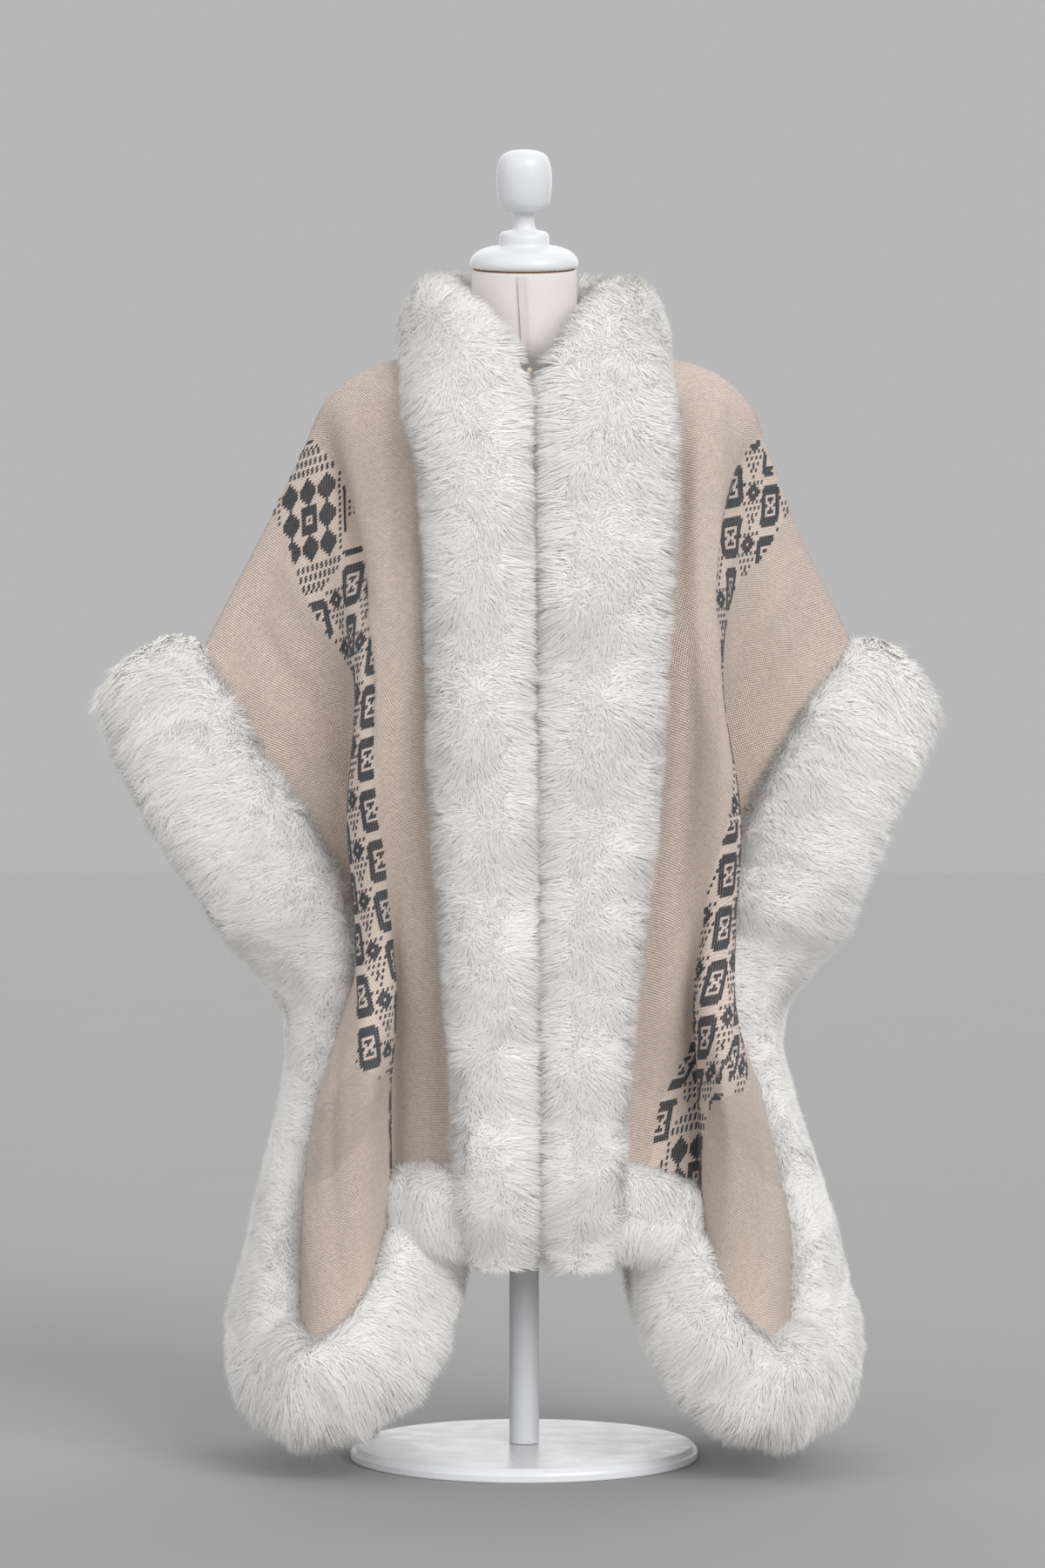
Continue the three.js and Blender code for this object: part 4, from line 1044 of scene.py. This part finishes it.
def skin_mesh(name, rings, share, around=40, steps=3):
    """The closed roll of skin under the pile: a grid wrapped round the rings, with its ends drawn in."""
    count = (len(rings[0]) - 1) * steps + 1
    along = np.linspace(0, len(rings[0]) - 1, count)[:, None] + np.zeros((1, around + 1))
    angle = np.linspace(0, 2 * math.pi, around + 1)[None, :] + np.zeros((count, 1))
    centre, offset, _, _ = strip_surface(rings, along, angle)
    return closed_mesh(name, centre + offset * share)


def strip_area(rings):
    """Length of a strip and girth of its section."""
    centre, wide, thick = rings
    length = np.linalg.norm(np.diff(centre, axis=0), axis=1).sum()
    around = math.pi * (np.linalg.norm(wide, axis=1).mean() + np.linalg.norm(thick, axis=1).mean())
    return length, around * ROUNDED_GIRTH


def even_angles(rings, rng, count):
    """Angles round a section, spread evenly over its skin and not over the circle."""
    ratio = np.linalg.norm(rings[1], axis=1).mean() / np.linalg.norm(rings[2], axis=1).mean()
    steps = np.linspace(0, 2 * math.pi, 181)
    outline = ring_offset(np.array([ratio, 0]), np.array([0, 1.0]), steps, 2 / SQUARENESS)
    length = np.concatenate([[0], np.cumsum(np.linalg.norm(np.diff(outline, axis=0), axis=1))])
    return np.interp(rng.random(count) * length[-1], length, steps)


def even_places(rings, rng, count):
    """Places along a strip, in rings, spread evenly over its length."""
    steps = np.linalg.norm(np.diff(rings[0], axis=0), axis=1)
    length = np.concatenate([[0], np.cumsum(steps)])
    return np.interp(rng.random(count) * length[-1], length, np.arange(len(length)))


# How the pile lies: how much it is combed away from the cloth, downwards, and apart from the strip's
# middle, and how far its tips lean, in metres.
LAY = {
    "trim": {"out": 0.0, "down": 0.4, "apart": 0.55, "lean": 0.013},
    "edge": {"out": 0.95, "down": 0.12, "apart": 0.25, "lean": 0.014},
}
TRIM_STRIPS = ("fur_collar", "fur_front_left", "fur_front_right")
# How much broad swirls, narrow tufts and chance turn the hairs, and change how far they reach.
COMB_UNEVEN = {"swirl": 0.38, "tuft": 0.28, "stray": 0.2}
REACH_UNEVEN = {"swirl": 0.01, "tuft": 0.014, "stray": 0.024}
REACH_LIMITS = (0.9, 1.17)
# The line where the two sides of the fur meet in front: height above the pin and place across, in metres.
MEETING_LINE = ([-0.9, -0.1, -0.04, 0.0], [0.018, 0.011, 0.011, 0.006])
PIN_CLEARANCE = 0.0048
MEETING_REACH = 0.03  # how far from that line tips are drawn to it
FACING_FRONT = -0.02  # depth before which a tip counts as in front
SEED = 7


def waves(points, length, seed):
    """A smooth uneven value in space, about from -1 to 1, that comes back after roughly the given length."""
    rng = np.random.default_rng(seed)
    ways = unit(rng.normal(size=(9, 3))) * (2 * math.pi / length) * rng.uniform(0.6, 1.5, (9, 1))
    return np.sin(points @ ways.T + rng.uniform(0, 2 * math.pi, 9)).sum(1, keepdims=True) / 3


def wave_vectors(points, length, seed):
    return np.concatenate([waves(points, length, seed + k) for k in range(3)], 1)


def closed(tip, share):
    """Tips in front drawn over the line where the fur's two sides meet, past it where share is above 1."""
    height = tip[:, 2:] - PIN["z"] * MM
    away = np.interp(height, *MEETING_LINE) - tip[:, :1]
    near = (abs(away) < MEETING_REACH) & (tip[:, 1:2] < FACING_FRONT)
    below_pin = np.clip((0.035 - height) / 0.05, 0, 1)
    strength = np.clip(1.9 - abs(away) / 0.017, 0.1, 1.25)
    pull = np.where(near, away * (share * below_pin) * strength, 0)
    return tip + pull * np.array([1.0, 0, 0])


def clear_of_pin(root, tip):
    """Which hairs lie behind the pin's head or pass it by, as seen from the front."""
    behind = tip[:, 1] > PIN["y"] * MM + 0.006
    start = root[:, [0, 2]] - np.array([PIN["x"], PIN["z"] + 1.0]) * MM
    run = tip[:, [0, 2]] - root[:, [0, 2]]
    nearest = np.clip(-dots(start, run) / dots(run, run), 0, 1)
    return behind | (np.linalg.norm(start + run * nearest, axis=1) > PIN_CLEARANCE)


def blades(root, tip, normal, width, rng):
    """Points and faces of slim blades that are turned at random and whose faces look outwards."""
    count = len(root)
    way = unit(tip - root)
    turn = rng.uniform(-0.5, 0.5, (count, 1))
    flat = unit(np.cross(way, normal) + normal * 0.001)
    half = width / 2 * rng.uniform(0.7, 1.3, (count, 1)) * (
        flat * np.cos(turn) + np.cross(way, flat) * np.sin(turn))
    points = np.stack([root - half, root + half, tip], 1)
    turned = dots(np.cross(2 * half, tip - root), normal) < 0
    faces = np.where(turned, np.array([[1, 0, 2]]), np.array([[0, 1, 2]]))
    return points.reshape(-1, 3), faces + 3 * np.arange(count)[:, None]


def pile_arrays(name, rings, settings, index):
    """Points, faces, normals and attributes of a strip's hairs, each a slim blade of one face."""
    rng = np.random.default_rng(SEED + index)
    length, around = strip_area(rings)
    count = int(length * around * settings.density * 1e4)
    lay = LAY["trim" if name in TRIM_STRIPS else "edge"]
    along = even_places(rings, rng, count)
    angle = even_angles(rings, rng, count)
    centre, offset, normal, wide = strip_surface(rings, along, angle)
    place = centre + offset
    normal = true_normal(rings, along, angle, normal)
    swirl = wave_vectors(place, 0.07, SEED)
    tuft = wave_vectors(place, 0.024, SEED + 10)
    apart = dots(offset, wide) / np.linalg.norm(rings[1], axis=1).mean()
    comb = wide * (lay["out"] + lay["apart"] * apart) + np.array([0, 0, -lay["down"]])
    comb = comb + swirl * COMB_UNEVEN["swirl"] + tuft * COMB_UNEVEN["tuft"] + rng.normal(
        0, COMB_UNEVEN["stray"], (count, 3))
    comb -= normal * dots(comb, normal)
    reach = 1.0 + tuft[:, :1] * REACH_UNEVEN["tuft"] + swirl[:, :1] * REACH_UNEVEN["swirl"] + rng.normal(
        0, REACH_UNEVEN["stray"], (count, 1))
    # The pile stands wider at both sides of a front strip, and of the collar below the pin.
    side_reach = np.clip(-apart - 0.5, 0, 1) * 0.14 + np.clip(apart - 0.45, 0, 1) * 0.3
    if name.startswith("fur_front"):
        reach += side_reach
    elif name == "fur_collar":
        reach += side_reach * np.clip((PIN["z"] * MM - place[:, 2:]) / 0.075, 0, 1)
    tip = centre + offset * np.clip(reach, *REACH_LIMITS) + comb * lay["lean"]
    if name in TRIM_STRIPS:
        tip = closed(tip, rng.uniform(0.7, 1.25, (count, 1)))
    root = centre + offset * (settings.core - 0.02) - comb * lay["lean"] * 0.3
    shown = clear_of_pin(root, tip)
    root, tip, normal, comb, tuft, swirl, place = (
        values[shown] for values in (root, tip, normal, comb, tuft, swirl, place))
    points, faces = blades(root, tip, normal, settings.width, rng)
    soft = unit(normal + comb * 0.1 + tuft * 0.07 + swirl * 0.12 + rng.normal(0, 0.05, root.shape))
    tint = np.clip(waves(place, 0.03, SEED + 30)[:, 0] * 0.25 + rng.random(len(root)) * 0.6, 0, 1)
    return points, faces, np.repeat(soft, 3, 0), {
        "pile": np.tile([0.0, 0.0, 1.0], len(root)), "lock": np.repeat(tint, 3)}


# ---------------------------------------------------------------- operators
class CAPE_OT_stage(bpy.types.Operator):
    """Make the camera, the soft lights and the floor"""

    bl_idname = "cape.stage"
    bl_label = "Stage"

    # Each soft light's place, its spread in degrees, and its strength as a share of the key light's.
    LIGHTS = [
        ("key", (2.3, -3.6, 2.9), 38, 1),
        ("fill", (-3.0, -3.2, 1.8), 80, 0.5),
        ("back", (0.6, 3.4, 2.6), 80, 0.55),
    ]
    AIM = Vector((0, 0, 0.65))
    VIEW_X, VIEW_DROP = -0.0017, 0.5196  # the middle of the view: across, and down from the neck's top
    SHOWN_STRENGTH = 1.45
    SOFT_STRENGTH = 0.56
    FLOOR_RADIUS = 30

    def execute(self, context):
        settings = context.scene.cape_stage
        middle = Vector((self.VIEW_X, 0, NECK_TOP_Z * MM - self.VIEW_DROP))
        camera = bpy.data.objects.new("camera", bpy.data.cameras.new("camera"))
        camera.data.lens = settings.lens
        camera.location = middle + Vector((0, -settings.distance, 0))
        camera.rotation_euler = (math.pi / 2, 0, 0)
        context.scene.collection.objects.link(camera)
        context.scene.camera = camera
        for name, place, spread, share in self.LIGHTS:
            self.light(context, name, place, spread, settings.key_power * share)
        world = bpy.data.worlds.new("studio")
        world.use_nodes = True
        tree = world.node_tree
        shown = add_node(tree, "ShaderNodeBackground", {
            "Color": (*settings.floor, 1), "Strength": self.SHOWN_STRENGTH})
        soft = tree.nodes["Background"]
        fill(tree, soft.inputs, {"Color": (1, 1, 1, 1), "Strength": self.SOFT_STRENGTH})
        to_camera = add_node(tree, "ShaderNodeLightPath").outputs["Is Camera Ray"]
        either = add_node(tree, "ShaderNodeMixShader", {
            0: to_camera, 1: soft.outputs[0], 2: shown.outputs[0]})
        fill(tree, tree.nodes["World Output"].inputs, {"Surface": either.outputs[0]})
        context.scene.world = world
        context.scene.view_settings.view_transform = "Standard"
        self.floor(context, settings.floor)
        return {"FINISHED"}

    def light(self, context, name, place, spread, power):
        lamp = bpy.data.lights.new(name, "SUN")
        lamp.angle = math.radians(spread)
        lamp.energy = power
        lit = bpy.data.objects.new(name, lamp)
        lit.location = place
        lit.rotation_euler = (self.AIM - Vector(place)).to_track_quat("-Z", "Y").to_euler()
        context.scene.collection.objects.link(lit)

    def floor(self, context, colour):
        """A round floor; it stays low, so that every view looks over it into the same pale surround."""
        mesh = mesh_of("floor", lambda made: bmesh.ops.create_circle(
            made, cap_ends=True, cap_tris=False, segments=96, radius=self.FLOOR_RADIUS))
        mesh.materials.append(studio_material(colour))
        floor = bpy.data.objects.new("floor", mesh)
        context.scene.collection.objects.link(floor)


class CAPE_OT_panels(bpy.types.Operator):
    """Make the woven front and back panels as thin creased shells"""

    bl_idname = "cape.panels"
    bl_label = "Woven panels"

    FLAT = {"front_left": (0.37, 0.83), "front_right": (0.36, 0.83), "back": (0.78, 0.83)}

    def execute(self, context):
        settings = context.scene.cape_cloth
        wool = wool_material("oatmeal wool", settings.ground, contrast=0.57, sheen=0.25)
        falls = np.linspace(0, 1, settings.rows + 1)
        for name in SHEETS:
            points, _, uv, _ = front_sheet(name, falls, settings.columns)
            self.panel(name, points, uv, SHEETS[name]["turn"], wool, settings.thickness)
        points, _, uv, _ = back_sheet(falls, round(settings.columns * BACK_COLUMNS))
        self.panel("back", points, uv, 1, wool, settings.thickness)
        return {"FINISHED"}

    def panel(self, name, points, uv, turn, wool, thickness):
        mesh = grid_mesh(f"woven_{name}", points, uv)
        if dots(np.array(mesh.polygons[0].normal), sheet_normals(points, turn)[0, 0])[0] < 0:
            edited(mesh, lambda made: bmesh.ops.reverse_faces(made, faces=made.faces))
        piece = finish_object(f"woven_{name}", mesh, wool)
        wall = piece.modifiers.new("thickness", "SOLIDIFY")
        wall.thickness = thickness
        wall.offset = -1
        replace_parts(piece, name)


class CAPE_OT_band(bpy.types.Operator):
    """Lay the charcoal stitches of the patterned bands on the panels"""

    bl_idname = "cape.band"
    bl_label = "Patterned bands"

    ROWS = 401  # places down the cloth at which the bands are measured
    SAMPLES = 49  # places across a band
    RAISED = 0.0005
    SLANT = 0.38
    HALF_WIDE, HALF_TALL = 0.45, 0.56  # half of a stitch, as shares of its place in the chart
    CLOTH_SHARE = 1.08  # cloth across the panel for each length across the cape

    def execute(self, context):
        settings = context.scene.cape_cloth
        wool = wool_material("charcoal wool", settings.charcoal, contrast=0.35, sheen=0.15)
        columns = settings.columns
        falls = np.linspace(0, 1, self.ROWS)
        for name, sheet in SHEETS.items():
            points, normals, _, (start, end) = front_sheet(name, falls, columns)
            self.stitches(f"band_{name}", wool, [(points, normals, start, end, sheet["part"])])
        points, normals, _, spans = back_sheet(falls, round(columns * BACK_COLUMNS))
        self.stitches("band_back", wool, [
            (points, normals, *span, f"back_{side}") for span, side in zip(spans, ("left", "right"))])
        return {"FINISHED"}

    def stitches(self, name, wool, bands):
        found = [self.laid(*band) for band in bands]
        middle, across, out, flat = (np.concatenate(values) for values in zip(*found))
        up = unit(np.cross(out, across)) * STITCH_TALL * MM * self.HALF_TALL
        up *= np.sign(up[:, 2:])
        wide = across * STITCH_WIDE * MM * self.HALF_WIDE
        lean = across * STITCH_WIDE * MM * self.SLANT
        corners = [middle + wide * a + (up + lean) * b for a, b in ((-1, -1), (1, -1), (1, 1), (-1, 1))]
        lift = out * self.RAISED
        points = np.stack([corner + lift * 0.6 for corner in corners] + [middle + lift * 2.2], 1)
        corner_order = np.array([[0, 1, 4], [1, 2, 4], [2, 3, 4], [3, 0, 4]])
        first = np.cross(points[:, 1] - points[:, 0], points[:, 4] - points[:, 0])
        faces = np.where(dots(first, out)[:, :, None] < 0, corner_order[:, ::-1][None], corner_order[None])
        faces = (faces + 5 * np.arange(len(points))[:, None, None]).reshape(-1, 3)
        mesh = triangle_mesh(name, points.reshape(-1, 3), faces)
        layer = mesh.uv_layers.new(name="cloth")
        layer.data.foreach_set("uv", np.repeat(flat, 5, 0)[faces.ravel()].astype(np.float32).ravel())
        finish_object(name, mesh, wool)

    def laid(self, points, normals, start, end, place):
        """Middle, direction across, normal and flat place of every charcoal stitch of one band."""
        layout = LAYOUT[place]
        middle = layout["middle"] * MM
        wide, tall = STITCH_WIDE * MM, STITCH_TALL * MM
        lines = np.linspace(start, end, self.SAMPLES)
        at, facing = (sample(values, lines) for values in (points, normals))
        height = at[..., 2] - layout["rise"] * (at[..., 0] - middle) * np.sign(middle)
        found = []
        for row in range(int(height.min() / tall) + 1, int(height.max() / tall)):
            level = row * STITCH_TALL * MM
            crossed = [j for j in range(len(lines)) if height[j].min() <= level <= height[j].max()]
            if len(crossed) < 3:
                continue
            fall = np.array([np.interp(-level, -np.maximum.accumulate(height[j][::-1])[::-1],
                                       np.arange(height.shape[1])) for j in crossed])
            low = np.clip(fall.astype(int), 0, height.shape[1] - 2)
            share = (fall - low)[:, None]
            curve, way = (values[crossed, low] * (1 - share) + values[crossed, low + 1] * share
                          for values in (at, facing))
            arc = np.concatenate([[0], np.cumsum(np.linalg.norm(np.diff(curve, axis=0), axis=1))])
            if curve[-1, 0] < curve[0, 0]:
                curve, way = curve[::-1], way[::-1]
                arc = arc[-1] - arc[::-1]
            u = arc - arc[-1] / 2 + ((curve[0, 0] + curve[-1, 0]) / 2 - middle) * self.CLOTH_SHARE
            first, last = math.ceil(u[0] / wide), math.floor(u[-1] / wide)
            columns = np.array([column for column in range(first, last + 1)
                                if self.charcoal(column, row, layout["medallions"])])
            if not len(columns):
                continue
            where = columns * STITCH_WIDE * MM
            on_curve, ahead, behind, out = (
                np.stack([np.interp(where + step, u, values[:, k]) for k in range(3)], 1)
                for values, step in ((curve, 0), (curve, 0.002), (curve, -0.002), (way, 0)))
            flat = np.stack([where, np.full(len(where), level)], 1)
            found.append((on_curve, unit(ahead - behind), unit(out), flat))
        return [np.concatenate(values) for values in zip(*found)]

    def charcoal(self, column, row, medallions):
        """Whether the chart has a charcoal stitch there."""
        from_middle = abs((column + HALF_REPEAT) % (2 * HALF_REPEAT) - HALF_REPEAT)
        from_next = HALF_REPEAT - from_middle
        for height in medallions:
            up = abs(row - round(height / STITCH_TALL))
            if up < len(MEDALLION) and not (up > MEDALLION_SHOULDER and from_next < BLOCK_WIDE):
                return MEDALLION[up][from_middle] == "#"
        row %= len(GROUND)
        if from_middle < BLOCK_WIDE:
            return self.in_block(row, from_middle)
        if from_next < BLOCK_WIDE:
            return self.in_block((row + len(GROUND) // 2) % len(GROUND), from_next)
        return GROUND[row][from_middle - BLOCK_WIDE] == "#"

    def in_block(self, row, column):
        last = 2 * len(BLOCK) - 2
        return row <= last and BLOCK[min(row, last - row)][column] == "#"


class CAPE_OT_fur(bpy.types.Operator):
    """Grow the long pile of every strip on its skin"""

    bl_idname = "cape.fur"
    bl_label = "Fur strips"

    def execute(self, context):
        settings = context.scene.cape_pile
        pile, skin = pile_material(settings), skin_material(settings)
        for index, (node, rings) in enumerate(fur_strips().items()):
            base = node.replace("fur_", "")
            finish_object(f"skin_{base}", skin_mesh(f"skin_{base}", rings, settings.core), skin)
            mesh = triangle_mesh(f"pile_{base}", *pile_arrays(node, rings, settings, index))
            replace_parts(finish_object(f"pile_{base}", mesh, pile), node)
        return {"FINISHED"}


class CAPE_OT_form(bpy.types.Operator):
    """Make the cotton-covered dress form and finish its neck tape"""

    bl_idname = "cape.form"
    bl_label = "Dress form"

    def execute(self, context):
        settings = context.scene.cape_form
        heights = np.concatenate([np.linspace(430, 1060, 60), np.linspace(1064, NECK_TOP_Z, 60)])
        keys = [row[0] for row in FORM_SECTIONS]
        half, front, back = (
            spline(keys, [row[k] for row in FORM_SECTIONS], heights)[:, None] for k in (1, 2, 3))
        angle = np.linspace(0, 2 * math.pi, settings.segments + 1)[None, :]
        x = half * np.cos(angle)
        y = np.where(angle > math.pi, front, back) * np.sin(angle)
        up = smooth_step((heights - NECK_BASE_Z) / (NECK_TOP_Z - NECK_BASE_Z))[:, None]
        z = heights[:, None] + y * NECK_LEAN * up
        mesh = closed_mesh("dress_form_cover", np.stack([x, y, z], -1) * MM)
        cotton = cotton_material("white cotton cover", settings.cover, thread=0.0009, strength=0.8)
        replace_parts(finish_object("dress_form_cover", mesh, cotton), "dress_form")
        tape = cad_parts["neck_tape"].data.materials
        tape.clear()
        tape.append(cotton_material("grey tape", (0.72, 0.67, 0.64), thread=0.0012, strength=1.0))
        return {"FINISHED"}


class CAPE_OT_neck(bpy.types.Operator):
    """Turn the painted neck cap with its knob and finish the board under it"""

    bl_idname = "cape.neck"
    bl_label = "Neck cap"

    def execute(self, context):
        settings = context.scene.cape_form
        place = Matrix.Translation((0, 0, NECK_TOP_Z * MM)) @ Matrix.Rotation(math.atan(NECK_LEAN), 4, "X")
        paint = paint_material("white painted wood", settings.paint, roughness=0.38, scale=70.0)
        cap = turned_mesh("turned_cap", CAP_PROFILE, settings.segments, place)
        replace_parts(finish_object("turned_cap", cap, paint), "neck_cap")
        plate = turned_mesh("neck_board", PLATE_PROFILE, settings.segments, place)
        plate = finish_object("neck_board", plate, board_material(), smooth=False)
        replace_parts(plate, "neck_plate")
        return {"FINISHED"}


class CAPE_OT_pin(bpy.types.Operator):
    """Make the pearl-headed pin that closes the collar"""

    bl_idname = "cape.pin"
    bl_label = "Pearl pin"

    def execute(self, context):
        head, shank = PIN["head"], PIN["shank"]
        start = math.asin(shank / head)
        angles = np.linspace(start, math.pi, 24)
        profile = [(0, -PIN["length"]), (shank * 0.5, -PIN["length"] + 2), (shank, -PIN["length"] + 6)]
        profile += [(head * math.sin(a) if a < math.pi else 0, -head * math.cos(a)) for a in angles]
        middle = Vector((PIN["x"], PIN["y"], PIN["z"])) * MM
        place = Matrix.Translation(middle) @ Matrix.Rotation(math.pi / 2, 4, "X")
        mesh = turned_mesh("pearl_head_pin", profile, 32, place)
        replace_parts(finish_object("pearl_head_pin", mesh, pearl_material()), "pearl_pin")
        return {"FINISHED"}


class CAPE_OT_stand(bpy.types.Operator):
    """Make the pole and the round base"""

    bl_idname = "cape.stand"
    bl_label = "Stand"

    BEVEL = 0.0006

    def execute(self, context):
        settings = context.scene.cape_form
        paint = paint_material("white painted steel", settings.paint, roughness=0.34, scale=40.0)
        for node, profile in (("pole", POLE_PROFILE), ("base", BASE_PROFILE)):
            name = f"stand_{node}"
            mesh = turned_mesh(name, profile, settings.segments)
            piece = finish_object(name, mesh, paint, smooth=False)
            bevel = piece.modifiers.new("edges", "BEVEL")
            bevel.width = self.BEVEL
            bevel.segments = 2
            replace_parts(piece, node)
        return {"FINISHED"}


class CAPE_PT_panel(bpy.types.Panel):
    """Lists the pieces of the cape with their settings."""

    bl_idname = "CAPE_PT_panel"
    bl_label = "Cape"
    bl_space_type = "VIEW_3D"
    bl_region_type = "UI"
    bl_category = "Cape"

    def draw(self, context):
        for group in ("cape_cloth", "cape_pile", "cape_form", "cape_stage"):
            box = self.layout.box()
            settings = getattr(context.scene, group)
            for name in settings.__annotations__:
                box.prop(settings, name)
        for operator in OPERATORS:
            self.layout.operator(operator.bl_idname)


GROUPS = {
    "cape_cloth": ClothSettings,
    "cape_pile": PileSettings,
    "cape_form": FormSettings,
    "cape_stage": StageSettings,
}
OPERATORS = [
    CAPE_OT_stage, CAPE_OT_panels, CAPE_OT_band, CAPE_OT_fur, CAPE_OT_form, CAPE_OT_neck, CAPE_OT_pin,
    CAPE_OT_stand,
]
CLASSES = [*GROUPS.values(), *OPERATORS, CAPE_PT_panel]


def register():
    for made in CLASSES:
        bpy.utils.register_class(made)
    for name, group in GROUPS.items():
        setattr(bpy.types.Scene, name, bpy.props.PointerProperty(type=group))


def unregister():
    for name in GROUPS:
        delattr(bpy.types.Scene, name)
    for made in reversed(CLASSES):
        bpy.utils.unregister_class(made)


def main():
    register()
    for operator in OPERATORS:
        prefix, name = operator.bl_idname.split(".")
        getattr(getattr(bpy.ops, prefix), name)()
    bpy.context.view_layer.update()


if __name__ == "__main__":
    main()
